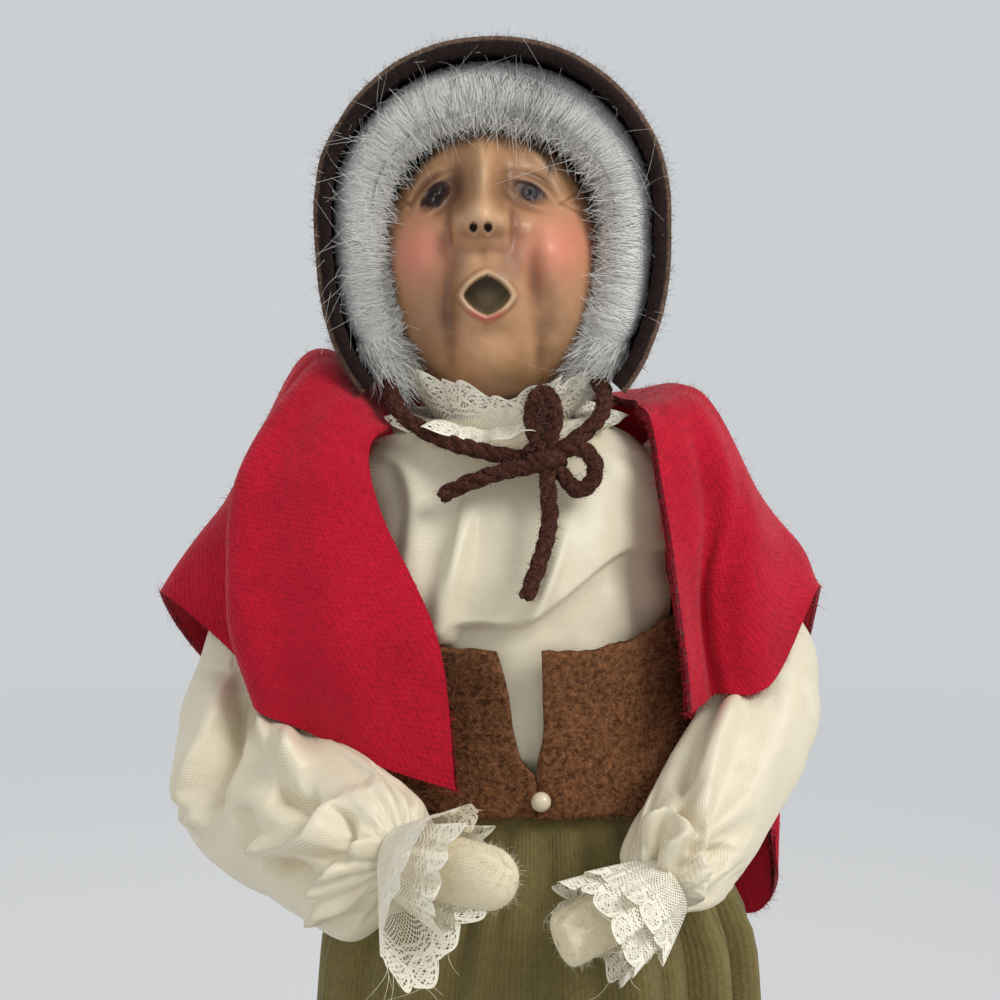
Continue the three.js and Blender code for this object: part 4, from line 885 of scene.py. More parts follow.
def around_body(angle, z, offset):
    """A place at an angle round the body, outside it by the offset."""
    x, half_width, half_depth = BODY(z)
    return oval(angle, x, half_width + offset, half_depth + offset, z)


def front_angle(x, z, offset):
    """The angle at which the body's front is x to the side."""
    lean, half_width, _ = BODY(z)
    across = np.clip((x - lean) / (half_width + offset), -1, 1)
    return -np.arccos(np.sign(across) * np.abs(across) ** (SQUARENESS / 2))


def ring_angles(count):
    """Even steps of angle once round; 0 is the figure's left side."""
    return np.arange(count) * TAU / count


# Skirt and petticoat

SKIRT_TOP = 205
SKIRT_HEM = 12.5
SKIRT_THICKNESS = 1.3
SKIRT_INNER = 1.6
SKIRT_FOLDS = 13
SKIRT_SWELL = smooth_rows([[0, 43, 37], [0.45, 39.2, 34], [0.8, 35.4, 31], [0.92, 31.9, 27.3]])
# The angle at which the right sleeve lies before the skirt and presses its gathers flat
SLEEVE_BEARING = 3.95


def on_skirt(angle, z, offset, fold=1.0):
    """The skirt's skin: an oval that widens from the waist to the hem, thrown into folds round it.

    The folds are creases of the angle with small waves between them. Towards the waist they pass into finer
    gathers, two and a half to a fold.
    """
    share = (z - SKIRT_HEM) / (SKIRT_TOP - SKIRT_HEM)
    width, depth = SKIRT_SWELL(np.minimum(share, 0.92))
    hips = smooth(0.965, 0.84, share)
    x, waist_width, waist_depth = BODY(np.maximum(z, SKIRT_TOP - 6))
    swing = SKIRT_FOLDS * angle + 0.9 * np.sin(2 * angle + 0.6)
    tucks = 2.5 * SKIRT_FOLDS * angle + 3 * np.sin(3 * angle)
    folds = 2.3 * mix(1, 0.75, share) * hips * (2 * crease(swing, 1.4) - 1.1)
    small = 0.5 * np.sin(2.0 * swing + 1.1 + 2.0 * share) * smooth(0.15, 0.7, share) * hips
    waist = smooth(0.972, 0.925, share)
    gathers = 2.1 * (crease(tucks, 1.6) - 0.45) * smooth(0.45, 0.9, share)
    pressed = smooth(0.7, 0.97, np.cos(angle - SLEEVE_BEARING))
    gathers = (gathers + 0.95 * smooth(0.84, 0.92, share)) * waist * (1 - 0.8 * pressed)
    rumple = 0.35 * wander(angle * 3, z * 0.05, 5, 1.0) * hips
    out = offset + fold * (folds + small + gathers + rumple)
    a = mix(waist_width + SKIRT_INNER, width, hips) + out
    b = mix(waist_depth + SKIRT_INNER, depth, hips) + out
    return oval(angle, x * smooth(0, 0.6, share), a, b, z)


def make_skirt():
    """The ribbed skirt, as one ring of cloth in folds."""
    angle = ring_angles(370)[:, None]
    z = np.linspace(SKIRT_HEM, SKIRT_TOP, 50)[None, :]
    grid = on_skirt(angle, z, SKIRT_THICKNESS / 2)
    skirt = cloth("skirt_rib", grid, SKIRT_THICKNESS, round_u=True)
    finish_piece(skirt, OLIVE_RIB, "figure", ("skirt",))


PETTICOAT_HEM = 16
PETTICOAT_TOP = 192


def make_petticoat():
    """Follows the skirt at a distance below, and closes in on the body above."""
    z = np.linspace(PETTICOAT_HEM, PETTICOAT_TOP, 40)[None, :]
    angle = ring_angles(220)[:, None]
    share = (z - PETTICOAT_HEM) / (PETTICOAT_TOP - PETTICOAT_HEM)
    ripple = 1 + 0.5 * np.sin(22 * angle) * smooth(0.6, 0.0, share) / 40
    hanging = on_skirt(angle, z, -mix(5.5, 3.9, share) - 0.45, 0) * point(ripple, ripple, 1)
    body = around_body(angle, np.maximum(z, 156), 0.8)
    body[..., 2] = z
    grid = mix(hanging, body, smooth(170, 188, z)[..., None])
    petticoat = cloth("petticoat_cotton", grid, 0.6, round_u=True)
    finish_piece(petticoat, COTTON, "figure", ("petticoat",))


# Blouse, cincher and pin

BLOUSE_BOTTOM = 195
BLOUSE_TOP = 264.5
CINCHER_BOTTOM = 199.3
CINCHER_TOP = 227.2
CINCHER_INNER = 3.2
CINCHER_THICKNESS = 1.8
PIN_Z = 202.6
PEARL_RADIUS = 1.65

# The lower edge of the blouse's overhang, across the front, and the ease added over the shoulders, by height
OVERHANG = smooth_rows([
    [-30, 227.5], [-16, 227.3], [-12, 228], [-10.8, 231], [-1.8, 231.4], [1.5, 233.5], [5.5, 237.1],
    [10.8, 241.3], [17.2, 242.9], [22, 241], [27, 236],
])
SHOULDER_EASE = smooth_rows([[244, 0], [250, 1.2], [256, 4.5], [261, 7.6], [264.5, 5.5]])


def blouse_front(x, z):
    """Relief of the bodice's front: it hangs over the waist, with a box pleat beside the middle.

    Each fold is a hump along a slanting line, and each edge a smooth step.
    """
    edge = OVERHANG(x)[0]
    puff = mix(4.4, 1.5, smooth(-3, 16, x)) * smooth(edge - 0.8, edge + 1.1, z)
    puff = puff * smooth(edge + 26, edge + 6, z)
    pleat_x = -11.1 + 0.083 * (z - 231)
    ridge_x = -1.8 + 0.29 * (z - 231.4)
    above = smooth(edge - 0.5, edge + 1.5, z)
    between = smooth(pleat_x - 0.3, pleat_x + 1.0, x) * smooth(ridge_x + 0.6, ridge_x - 2.4, x)
    recess = -2.6 * between * smooth(255, 241, z)
    ridge = 1.7 * hump(x - ridge_x - 0.8, 0, 1.2, 1) * smooth(251, 238, z)
    pleat = 1.6 * hump(x - pleat_x + 1.2, 0, 1.7, 1) * smooth(257, 243, z)
    left_fold = 1.9 * hump(x - 19.5 + 0.04 * (z - 240), 0, 2.2, 1) * smooth(264, 254, z) * smooth(226, 236, z)
    right_fold = 1.5 * hump(x + 17.5 + 0.1 * (z - 245), 0, 1.8, 1) * smooth(264, 256, z)
    under = -0.7 * hump(0, z - edge + 3.2, 1, 2.6) * smooth(-12, -6, x)
    return puff + (recess + ridge + pleat) * above + left_fold + right_fold + under


def make_blouse():
    """The blouse's body: smooth under the cincher, full above it, strained at the shoulders."""
    angle = ring_angles(350)[:, None]
    z = np.linspace(BLOUSE_BOTTOM, BLOUSE_TOP, 140)[None, :]
    facing = np.maximum(0, -np.sin(angle))
    lean, half_width, _ = BODY(z)
    x = lean + half_width * np.sign(np.cos(angle)) * np.abs(np.cos(angle)) ** (2 / SQUARENESS)
    free = smooth(CINCHER_TOP - 1.5, CINCHER_TOP + 3.5, z)
    front = blouse_front(x, z) * smooth(0, 0.35, facing)
    spine = 1.6 * smooth(258, 238, z) + 0.8 * (crease(9 * angle, 2.0) - 0.5)
    back = spine * smooth(0.35, 0, facing) * smooth(262, 250, z)
    strain = 0.35 * (crease(14 * angle + 0.13 * z + 1.2 * np.sin(0.12 * z), 2.0) - 0.5) * smooth(250, 262, z)
    soft = 0.42 * wander(angle * 5, z * 0.16, 21, 0.8)
    over_skirt = 1.6 * smooth(SKIRT_TOP + 0.3, SKIRT_TOP + 4, z) * smooth(252, 236, z) * mix(0.4, 1, facing)
    shoulder = SHOULDER_EASE(z)[0] * np.abs(np.cos(angle)) ** 1.5
    ease = 0.8 + (front + back + strain + soft) * free + over_skirt + shoulder
    grid = around_body(angle, z, ease)
    blouse = surface("blouse_sateen", grid, round_u=True)
    finish_piece(blouse, SATEEN, "figure", ("blouse",))


# Where the cincher's front ends lie beside the middle, by height
LEFT_EDGE = smooth_rows([[199, 0.6], [206.1, 0.6], [208.5, 0.75], [213.4, 1.6], [220.3, 1.45], [228, 1.1]])
RIGHT_EDGE = smooth_rows([[199, 0.4], [206.1, 0.3], [208.5, -1.8], [213.4, -3.2], [220.3, -4.2], [228, -6]])


def make_cincher():
    """A felt belt round the waist: its ends part in a narrow V above the pin, and its top rides up."""
    nu, nv = 320, 40
    v = np.linspace(0, 1, nv)[None, :]
    u = np.linspace(0, 1, nu)[:, None]
    offset = CINCHER_INNER + CINCHER_THICKNESS / 2
    level = mix(CINCHER_BOTTOM, CINCHER_TOP, v)
    start = front_angle(LEFT_EDGE(level)[0], level, offset)
    end = front_angle(RIGHT_EDGE(level)[0], level, offset) + TAU
    angle = mix(start, end, u)
    left_rise = 4.2 * smooth(0.03, 0.2, u) * smooth(0.62, 0.3, u)
    rise = left_rise + 1.8 * smooth(0.3, 0.62, u) * smooth(0.98, 0.86, u)
    z = level + rise * v**2 + 0.35 * wander(angle * 14, 0 * level, 32, 1.0) * (2 * v - 1)
    flare = 1.0 * smooth(CINCHER_TOP - 9, CINCHER_TOP, level)
    lift = 1.0 * smooth(0.03, 0, u) * v + 1.2 * smooth(0.97, 1, u) * v
    lap = 0.5 * smooth(0.985, 1, u) * smooth(0.3, 0.1, v)
    wave = 0.4 * wander(angle * 5, level * 0.2, 31, 0.8)
    grid = around_body(angle, z, offset + flare + lift + lap + wave)
    felt = cloth("cincher_felt", grid, CINCHER_THICKNESS)
    finish_piece(felt, BROWN_FELT, "figure", ("waist_cincher",))
    rng = np.random.default_rng(33)
    count = 3900
    normals = grid_normals(grid)
    i, j = rng.integers(0, nu, count), rng.integers(0, nv, count)
    roots = grid[i, j] + normals[i, j] * CINCHER_THICKNESS * 0.5
    ways = unit(normals[i, j] * 0.3 + scatter(rng, count, 0.6))
    bends = scatter(rng, count, 0.5) + normals[i, j] * 0.1
    hairs = fibres("cincher_fuzz", roots, ways, rng.uniform(0.5, 1.9, count), bends, 0.035, 3)
    finish_piece(hairs, BROWN_FIBRE, "figure")


def make_pin():
    """The pearl, just in front of the felt, with a small flat where the pin enters it."""
    front = float(BODY(PIN_Z)[2]) + CINCHER_INNER + CINCHER_THICKNESS
    centre = vec(1.2, -front - 0.3 - PEARL_RADIUS, PIN_Z)
    turn = ring_angles(48)[:, None]
    rise = np.linspace(-np.pi / 2 + 0.001, np.pi / 2 - 0.2, 30)[None, :]
    ball = point(np.cos(rise) * np.cos(turn), np.sin(rise), np.cos(rise) * np.sin(turn))
    grid = centre + PEARL_RADIUS * ball
    bead = surface("pearl_bead", grid, round_u=True, ends=True)
    finish_piece(bead, PEARL, "figure", ("pin_pearl",))


# Head

HEAD = vec(-7, -1, 290.3)
HEAD_HALF = vec(18.7, 19, 23.3)
HEAD_POINTS = (310, 200)  # round it and up it
MOUTH = vec(-7.6, 0, 285.2)
MOUTH_HALF = (3.9, 3.3)
NOSE = vec(-8.6, 0, 298.4)
# The middle of each eye, its slope and how pale it is
EYES = ((-16.2, 301.5, 1.0, 0.0), (-0.7, 302.1, -0.5, 1.0))


def face_relief(x, z):
    """How far the face stands out of the egg at a place seen from the front: a sum of humps and hollows."""
    dx = x - NOSE[0]

    def brow(bx, bz, fall):
        return 1.9 * hump(x - bx, z - bz + fall * (x - bx), 4.6, 2.1)

    cheeks = 3.3 * hump(x + 18, z - 291.3, 5.2, 5) + 3.7 * hump(x - 3.2, z - 291.8, 6.2, 5.4)
    bridge = 2.8 * hump(dx - 0.3, z - 306.5, 2.4, 6)
    nose = 7 * hump(dx, z - NOSE[2] - 0.3, 3, 3.2) + 2.6 * hump(dx, z - NOSE[2] + 1.2, 5, 2.3)
    brows = brow(-17.2, 308.2, -0.8) + brow(0.6, 309.2, 0.8)
    sockets = -3.1 * hump(x + 15.9, z - 301.6, 3.9, 3) - 3.1 * hump(x + 1.1, z - 302.2, 3.9, 3)
    lips = 2.6 * hump(x - MOUTH[0], z - MOUTH[2], 7, 7.2)
    chin = 3 * hump(x + 7, z - 273.2, 5.4, 4.2)
    jowls = 1.5 * hump(x + 18, z - 279.5, 4, 6) + 1.5 * hump(x - 4.2, z - 279.5, 4, 6)
    folds = -1.6 * hump(x + 13.7, z - 287, 1.5, 7) - 1.6 * hump(x, z - 288, 1.5, 7)
    jaw_lines = -1.1 * hump(x + 13.5, z - 277, 1.3, 4.5) - 1.1 * hump(x - 1.1, z - 276, 1.3, 4.5)
    return cheeks + bridge + nose + brows + sockets + lips + chin + jowls + folds + jaw_lines


def mouth_distance(x, z):
    """Below 1 inside the open mouth, a rounded diamond: shares of its half size, each to a power, added."""
    across, up = np.abs(x - MOUTH[0]) / MOUTH_HALF[0], np.abs(z - MOUTH[2]) / MOUTH_HALF[1]
    return across**1.45 + up**1.45


# The creases from the nose down past the mouth, seen from the front
CHEEK_FOLDS = (
    ((-3.0, 296.5), (-2.2, 292.5), (0.2, 288.0), (2.2, 283.0), (2.4, 277.0)),
    ((-13.2, 279.0), (-14.6, 284.0), (-15.6, 288.6), (-15.0, 292.5), (-13.6, 296.0)),
)


def tilted(x, z, eye):
    """Distances along and across an eye that slopes down towards the face's side."""
    ex, ez, slope = eye[:3]
    dx, dz = x - ex, z - ez
    length = np.hypot(1, slope)
    return (dx + slope * dz) / length, (dz - slope * dx) / length


def fine_relief(x, z):
    """Modelling too fine for the solid: eyeballs and lids, lips, nose wings, wrinkles and the open mouth."""
    made = 0
    for eye in EYES:
        a, b = tilted(x, z, eye)
        above, below = b + 0.06 * a**2, b - 0.05 * a**2
        made = made + 1.2 * hump(a, b, 2.3, 1.4)
        made = made + 0.75 * hump(a, above - 1.75, 3.4, 0.5) - 0.6 * hump(a, above - 2.9, 3.4, 0.6)
        made = made + 0.55 * hump(a, below + 1.6, 3.0, 0.5) - 0.45 * hump(a, below + 2.7, 3.2, 0.7)
    for side in (-1, 1):
        dx, dz = (x - NOSE[0]) * side, z - NOSE[2]
        made = made + 1.1 * hump(dx - 3.4, dz + 1.4, 1.3, 1.5)
        made = made - 0.6 * hump(dx - 5.3, dz + 1.4, 1.0, 2.4)
        made = made - 1.7 * smooth(0.85, 0.35, np.hypot(dx - 1.15, (dz + 2.3) * 0.9))
    rim = mouth_distance(x, z)
    made = made + 0.6 * np.exp(-(((rim - 1.2) / 0.2) ** 2))
    made = made - 0.4 * hump(x - NOSE[0] - 0.3, z - 291.8, 1.1, 1.8)
    made = made - 0.5 * hump(x + 7.2, z - 279.4 - 0.02 * (x + 7.2) ** 2, 4, 1.6)
    made = made - 0.5 * hump(x + 7.9, z - 310, 0.5, 1.8)
    for side, foot in ((-1, -20.6), (1, 4.6)):
        for tilt in (-0.5, 0.1, 0.7):
            away = (x - foot) * side
            made = made - 0.3 * hump(0, z - 300.3 - tilt * away, 1, 0.35) * smooth(-1.2, 0.5, away)
    dx = x - NOSE[0]
    made = made + 1.5 * hump(dx - 0.4, z - 303.5, 1.3, 5.5)
    made = made - 1.3 * hump(dx + 4.6, z - 303.2, 1.7, 3.4) - 1.0 * hump(dx - 4.6, z - 304.2, 1.5, 3.2)
    made = made + 1.2 * smooth(5.4, 3.9, np.abs(dx)) * smooth(292, 294.2, z) * smooth(302, 297, z)
    for fold in CHEEK_FOLDS:
        made = made - stroke(x, z, fold, 3.0, 1.1, 0.8)
    made = made + 0.12 * wander(x * 0.35, z * 0.35, 41, 1.0)
    return made - 4.2 * smooth(1.02, 0.8, rim)


def whole_relief(x, z):
    """The broad and the fine relief together."""
    return face_relief(x, z) + fine_relief(x, z)


NOSE_REACH = 9  # the relief flattens out towards this height in millimetres, which blunts the nose


def make_head():
    """An egg with its points crowded towards the face, the relief pushed out of it and the paint by place."""
    u = 2 * np.arange(HEAD_POINTS[0]) / HEAD_POINTS[0] - 1
    turn = (np.pi * (0.42 * u + 0.58 * u**3))[:, None]
    rise = np.linspace(-np.pi / 2 + 0.04, np.pi / 2 - 0.04, HEAD_POINTS[1])[None, :]
    jowl = 1 + 0.07 * hump(0, HEAD_HALF[2] * np.sin(rise) + 11, 1, 9)
    x = HEAD[0] + HEAD_HALF[0] * np.sin(turn) * np.cos(rise) * jowl
    y = HEAD[1] - HEAD_HALF[1] * np.cos(turn) * np.cos(rise)
    z = HEAD[2] + HEAD_HALF[2] * np.sin(rise) + 0 * turn
    front = smooth(0.1, 0.62, np.cos(turn) * np.cos(rise))
    relief = whole_relief(x, z)
    y = y - front * NOSE_REACH * np.tanh(relief / NOSE_REACH)
    colour = face_paint(x, z, front)
    head = surface("head_clay", point(x, y, z), round_u=True, colour=colour.reshape(-1, 3), ends=True)
    finish_piece(head, PAINT, "figure", ("head",))


# Soft shadows painted on the face: place from the front, width, height and how deep
FACE_SHADOWS = (
    (-12.4, 304.5, 2.0, 5.0, 0.35), (-19, 280, 5, 8, 0.45), (-12.3, 290.6, 1.9, 3.2, 0.5),
    (-3.6, 290.6, 2.2, 3.2, 0.5), (-8.6, 295.2, 4.5, 1.5, 0.35), (-14, 280, 2.5, 6, 0.25),
    (4.5, 281, 5, 5, 0.22),
)


def lay(colour, over, amount):
    """Paint one colour over another by an amount from 0 to 1."""
    return mix(colour, over, np.clip(amount, 0, 1)[..., None])


def face_paint(x, z, front):
    """Colours by place: bronze, brown antiquing in the hollows, pink cheeks and lip, dark eyes and mouth.

    A painted highlight makes the ridges paler. Painted shade darkens round the eyes and nose, beside the
    mouth, along the cheek folds, on the jaw, under the chin and towards the sides of the head, and the inside
    of the mouth towards its top.
    """
    tan, wash_and_shade, pink = vec(0.6, 0.33, 0.165), vec(0.13, 0.052, 0.024), vec(0.76, 0.26, 0.17)
    colour = np.broadcast_to(tan, x.shape + (3,)).copy()
    ridges = whole_relief(x, z)
    around = sum(whole_relief(x + sx, z + sz) for sx, sz in ((-0.7, 0), (0.7, 0), (0, -0.7), (0, 0.7))) / 4
    colour = lay(colour, wash_and_shade, 2.6 * np.clip(around - ridges, 0, 0.2) * front)
    # Paler paint on the ridges: a painted highlight.
    colour = lay(colour, vec(0.76, 0.5, 0.28), 2.0 * np.clip(ridges - around, 0, 0.3) * front)
    colour = lay(colour, wash_and_shade, 0.14 * smooth(0.0, 0.9, wander(x * 0.3, z * 0.3, 48, 1.0)) * front)
    # Painted shade, laid in the same brown: under the chin, towards the sides of the head, round the eyes and
    # nose, along the cheek folds, on the jaw and at the places in FACE_SHADOWS.
    shadow = 0.45 * hump(x + 7.4, z - 265.5, 14, 4) + 0.35 * smooth(0.5, 0.2, front)
    for eye in EYES:
        a, b = tilted(x, z, eye)
        shadow = shadow + 0.6 * hump(a, b - 0.4, 5.2, 3.8)
    for side in (-1, 1):
        dx, dz = (x - NOSE[0]) * side, z - NOSE[2]
        shadow = shadow + 0.35 * hump(dx - 5.6, dz + 0.8, 1.6, 3.0) + 0.4 * hump(dx - 3.9, dz - 4.5, 1.6, 3.6)
    shadow = shadow + sum(stroke(x, z, fold, 2.6, 0.3) for fold in CHEEK_FOLDS)
    shadow = shadow + 0.3 * smooth(-12, -21, x) * smooth(282, 272, z)
    for sx, sz, wide, tall, depth in FACE_SHADOWS:
        shadow = shadow + depth * hump(x - sx, z - sz, wide, tall)
    colour = lay(colour, wash_and_shade, shadow)
    for cx, cz, wide, tall in ((-19.0, 292.6, 4.4, 5.0), (4.6, 293.0, 6.2, 5.4)):
        colour = lay(colour, pink, 0.95 * hump(x - cx, z - cz, wide, tall))
    rim = mouth_distance(x, z)
    colour = lay(colour, vec(0.76, 0.55, 0.36), 0.75 * np.exp(-(((rim - 1.14) / 0.1) ** 2)))
    lower = smooth(MOUTH[2] - 1.5, MOUTH[2] - 3.4, z)
    colour = lay(colour, vec(0.66, 0.13, 0.1), 0.95 * np.exp(-(((rim - 1.28) / 0.2) ** 2)) * lower)
    for side in (-1, 1):
        hole = np.hypot(x - NOSE[0] - side * 1.15, (z - NOSE[2] + 2.3) * 0.9)
        colour = lay(colour, vec(0.008, 0.004, 0.003), smooth(0.8, 0.55, hole))
    for eye in EYES:
        colour = paint_eye(colour, x, z, eye)
    for bx, bz, slope in ((-19.4, 306.8, 1.45), (1.7, 308.4, -1.25)):
        a, b = tilted(x, z, (bx, bz, slope))
        brow = hump(0, b + 0.1 * a**2, 1, 0.75) * smooth(4.2, 2.6, np.abs(a))
        colour = lay(colour, vec(0.05, 0.036, 0.03), 0.95 * brow * (0.75 + 0.25 * np.sin(7 * a + 5 * b)))
    # Inside the mouth, darker towards the top: painted shade under the upper lip.
    depth = smooth(MOUTH[2] + 2, MOUTH[2] - 3.5, z)[..., None]
    inside = mix(vec(0.085, 0.065, 0.035), vec(0.36, 0.29, 0.17), depth)
    return lay(colour, inside, smooth(1.0, 0.84, rim))


def paint_eye(colour, x, z, eye):
    """A narrow eye: a dull iris in a broken dark outline of lids and lashes, with a few pale specks painted
    as glints.
    """
    a, b = tilted(x, z, eye)
    pale = eye[3]
    patch = smooth(1.35, 0.8, (a / 3.1) ** 2 + (b / 1.75) ** 2)
    grit = smooth(-0.5, 0.3, wander(x * 3.0, z * 3.0, 43, 1.0))
    colour = lay(colour, vec(0.035, 0.012, 0.009), patch * (0.4 + 0.6 * grit) * mix(1, 0.6, pale))
    ball = smooth(1.25, 0.8, (np.abs(a) / 2.1) ** 2 + (np.abs(b) / 1.1) ** 2)
    colour = lay(colour, mix(vec(0.014, 0.006, 0.004), vec(0.13, 0.1, 0.09), pale), ball)
    iris = np.hypot(a - 0.1, b)
    iris_colour = mix(vec(0.008, 0.004, 0.003), vec(0.055, 0.058, 0.066), pale)
    colour = lay(colour, iris_colour, smooth(1.0, 0.8, iris) * ball)
    colour = lay(colour, vec(0.004, 0.004, 0.005), smooth(0.6, 0.4, iris))
    colour = lay(colour, vec(0.02, 0.007, 0.01), 0.95 * hump(0, iris - 1.2, 1, 0.32) * patch)
    # Pale specks over the eye: painted glints.
    painted_glints = smooth(0.62, 0.85, wander(x * 4.2, z * 4.2, 47, 1.0)) * patch
    colour = lay(colour, vec(0.45, 0.36, 0.3), 0.7 * painted_glints)
    upper = hump(0, b - 1.3 + 0.12 * a**2, 1, 0.36) * smooth(3.2, 2.4, np.abs(a))
    return lay(colour, vec(0.03, 0.01, 0.01), 0.8 * upper * (0.5 + 0.5 * grit))


# Bonnet: a horseshoe round the face

BONNET_X = -6.65
BONNET_Z = 297.4
RIM_HALF_WIDTH = 29.5
RIM_RISE = 30
RIM_DROP = 37
RIM_POWER = 2.5
RIM_END = 2.38  # the angle from its top at which the rim ends, on either side
RIM_Y = -14
BRIM_BACK_Y = 4
BRIM_BACK_SCALE = 0.9
CROWN_DEPTH = 23
SEAM_POINTS = 300


def horseshoe(angle, inset, scale=1.0):
    """A place on the brim's outline, at an angle from its top, drawn in by an inset: (x, z).

    The outline is an oval, fuller at its sides than on top, that reaches further down than up.
    """
    power = 2 / mix(2.1, RIM_POWER, smooth(0.9, 1.9, np.abs(angle)))
    across = np.sign(np.sin(angle)) * np.abs(np.sin(angle)) ** power
    up = np.sign(np.cos(angle)) * np.abs(np.cos(angle)) ** power
    reach = np.where(np.cos(angle) > 0, RIM_RISE, RIM_DROP)
    return BONNET_X + (RIM_HALF_WIDTH * scale - inset) * across, BONNET_Z + (reach * scale - inset) * up


def on_brim(angle, v, inset):
    """A place on the brim: v from its front edge at 0 to its seam with the crown at 1.

    Its outline shrinks towards the seam, and its front edge pokes forward most at the top.
    """
    x, z = horseshoe(angle, inset, mix(1, BRIM_BACK_SCALE, v**1.3))
    poke = 3 * np.cos(angle / 2) ** 2
    y = mix(RIM_Y + 1.5 - poke, BRIM_BACK_Y, v)
    ripple = 0.25 * wander(angle * 3, v * 2, 51, 1.2)
    return point(x + ripple, y + ripple, z)


def make_bonnet():
    """Felt brim, velvet lining, crown and binding."""
    angle = np.linspace(-RIM_END, RIM_END, SEAM_POINTS)[:, None]
    v = np.linspace(0, 1, 30)[None, :]
    grid = on_brim(angle, v, 0.6)
    brim = cloth("brim_felt", grid, 1.2)
    finish_piece(brim, BONNET_FELT, "figure", ("bonnet_brim",))
    brim_fuzz(grid)
    ridge = 0.55 * hump(v - 0.2, 0, 0.05, 1) + 0.4 * hump(v - 0.42, 0, 0.06, 1)
    lining = cloth("brim_lining", on_brim(angle, v, 1.8 + ridge), 0.6)
    finish_piece(lining, DARK_VELVET, "figure", ("bonnet_lining",))
    make_crown()
    make_binding()


def brim_fuzz(grid):
    """Short wool hairs that stand out of the felt, thickest along its front edge."""
    rng = np.random.default_rng(52)
    count = 2500
    normals = grid_normals(grid)
    i = rng.integers(0, grid.shape[0], count)
    j = (rng.uniform(size=count) ** 2.2 * grid.shape[1]).astype(int)
    from_middle = grid[i, j] - vec(BONNET_X, 0, BONNET_Z)
    away = np.sign((from_middle * normals[i, j]).sum(1))[:, None] * normals[i, j]
    roots = grid[i, j] + away * 0.6
    ways = unit(away * 0.6 + vec(0, -0.25, 0) + scatter(rng, count, 0.6))
    lengths = rng.uniform(0.3, 1.3, count)
    hairs = fibres("brim_fuzz", roots, ways, lengths, scatter(rng, count, 0.5), 0.03, 3)
    finish_piece(hairs, FELT_FIBRE, "figure")


def make_crown():
    """The crown closes in behind in a puff, with tucks that run to its middle, and a piped seam.

    The brim's outline shrinks with a cosine while it goes back with a sine, and creases of the angle tuck it.
    """
    angle = np.linspace(-RIM_END, RIM_END, 240)[:, None]
    v = np.linspace(0, 1, 44)[None, :]
    x, z = horseshoe(angle, 0.6, BRIM_BACK_SCALE)
    y = BRIM_BACK_Y + 0.3 + (CROWN_DEPTH - 0.6) * np.sin(np.pi / 2 * v) + 0 * angle
    share = np.cos(np.pi / 2 * v) ** 0.9
    tucks = crease(30 * angle + 3 * np.sin(2 * angle), 2.0) - 0.5
    puff = 1 + (0.028 * tucks * np.sin(np.pi * v) ** 0.7 + 0.02 * np.sin(np.pi * v)) * smooth(0, 0.1, v)
    grid = point(mix(BONNET_X, x, share * puff), y, mix(BONNET_Z - 3, z, share * puff))
    crown = cloth("crown_felt", grid, 1.2)
    finish_piece(crown, BONNET_FELT, "figure", ("bonnet_crown",))
    seam_angle = np.linspace(-RIM_END, RIM_END, SEAM_POINTS)
    x, z = horseshoe(seam_angle, 0.1, BRIM_BACK_SCALE)
    seam = tube_grid(point(x, BRIM_BACK_Y + 0.15, z), 10, lambda a, s: 0.55 + 0.06 * np.sin(180 * s * TAU))
    piping = surface("crown_seam", seam, round_u=True, ends=True)
    finish_piece(piping, BONNET_FELT, "figure")


def make_binding():
    """The rolled velvet edge, with a row of stitches along its inside."""
    angle = np.linspace(-RIM_END, RIM_END, 420)
    path = on_brim(angle, 0 * angle, 1.9) + vec(0, -0.9, 0)
    edge = tube_grid(path, 18, lambda a, s: 1.1 + 0.06 * np.sin(60 * s * TAU))
    roll = surface("brim_binding", edge, round_u=True, ends=True)
    finish_piece(roll, DARK_VELVET, "figure", ("bonnet_binding",))
    count = 84
    at = np.linspace(-RIM_END + 0.03, RIM_END - 0.03, count)
    stitch = on_brim(at[:, None] + np.linspace(-0.012, 0.012, 5)[None, :], np.full((count, 5), 0.12), 2.25)
    thread = strands("brim_stitches", stitch, 0.16)
    finish_piece(thread, BONNET_FELT, "figure")


# Hair

HAIR_TOP = (4.9, 8.5)  # half width of the roll, and inset from the bonnet's rim, over the forehead
HAIR_SIDE = (4.0, 7.0)  # and beside the face
HAIR_DEPTH = 5
HAIR_Y = -9.5
HAIR_END = RIM_END * 0.97


def hair_roll(angle, section, swell=1.0):
    """A place on the roll of hair: angle along the horseshoe, and section round the roll.

    Its section is an oval, set square to the horseshoe, that thins out at both ends.
    """
    top = np.maximum(0, np.cos(angle)) ** 2
    half_width, inset = mix(HAIR_SIDE[0], HAIR_TOP[0], top), mix(HAIR_SIDE[1], HAIR_TOP[1], top)
    x, z = horseshoe(angle, inset)
    size = mix(0.65, 1, smooth(HAIR_END, HAIR_END * 0.88, np.abs(angle))) * swell
    ahead_x, ahead_z = horseshoe(angle + 0.01, inset)
    way = unit(point(ahead_x - x, 0 * x, ahead_z - z))
    out = np.stack([-way[..., 2], 0 * way[..., 0], way[..., 0]], axis=-1)
    y = HAIR_Y + HAIR_DEPTH * size * np.sin(section)
    reach = (half_width * size * np.cos(section))[..., None]
    return point(x, y, z) + out * reach


def head_front(x, z):
    """The face's depth at a place seen from the front, without its relief."""
    inside = 1 - ((x - HEAD[0]) / HEAD_HALF[0]) ** 2 - ((z - HEAD[2]) / HEAD_HALF[2]) ** 2
    return HEAD[1] - HEAD_HALF[1] * np.sqrt(np.maximum(inside, 0))


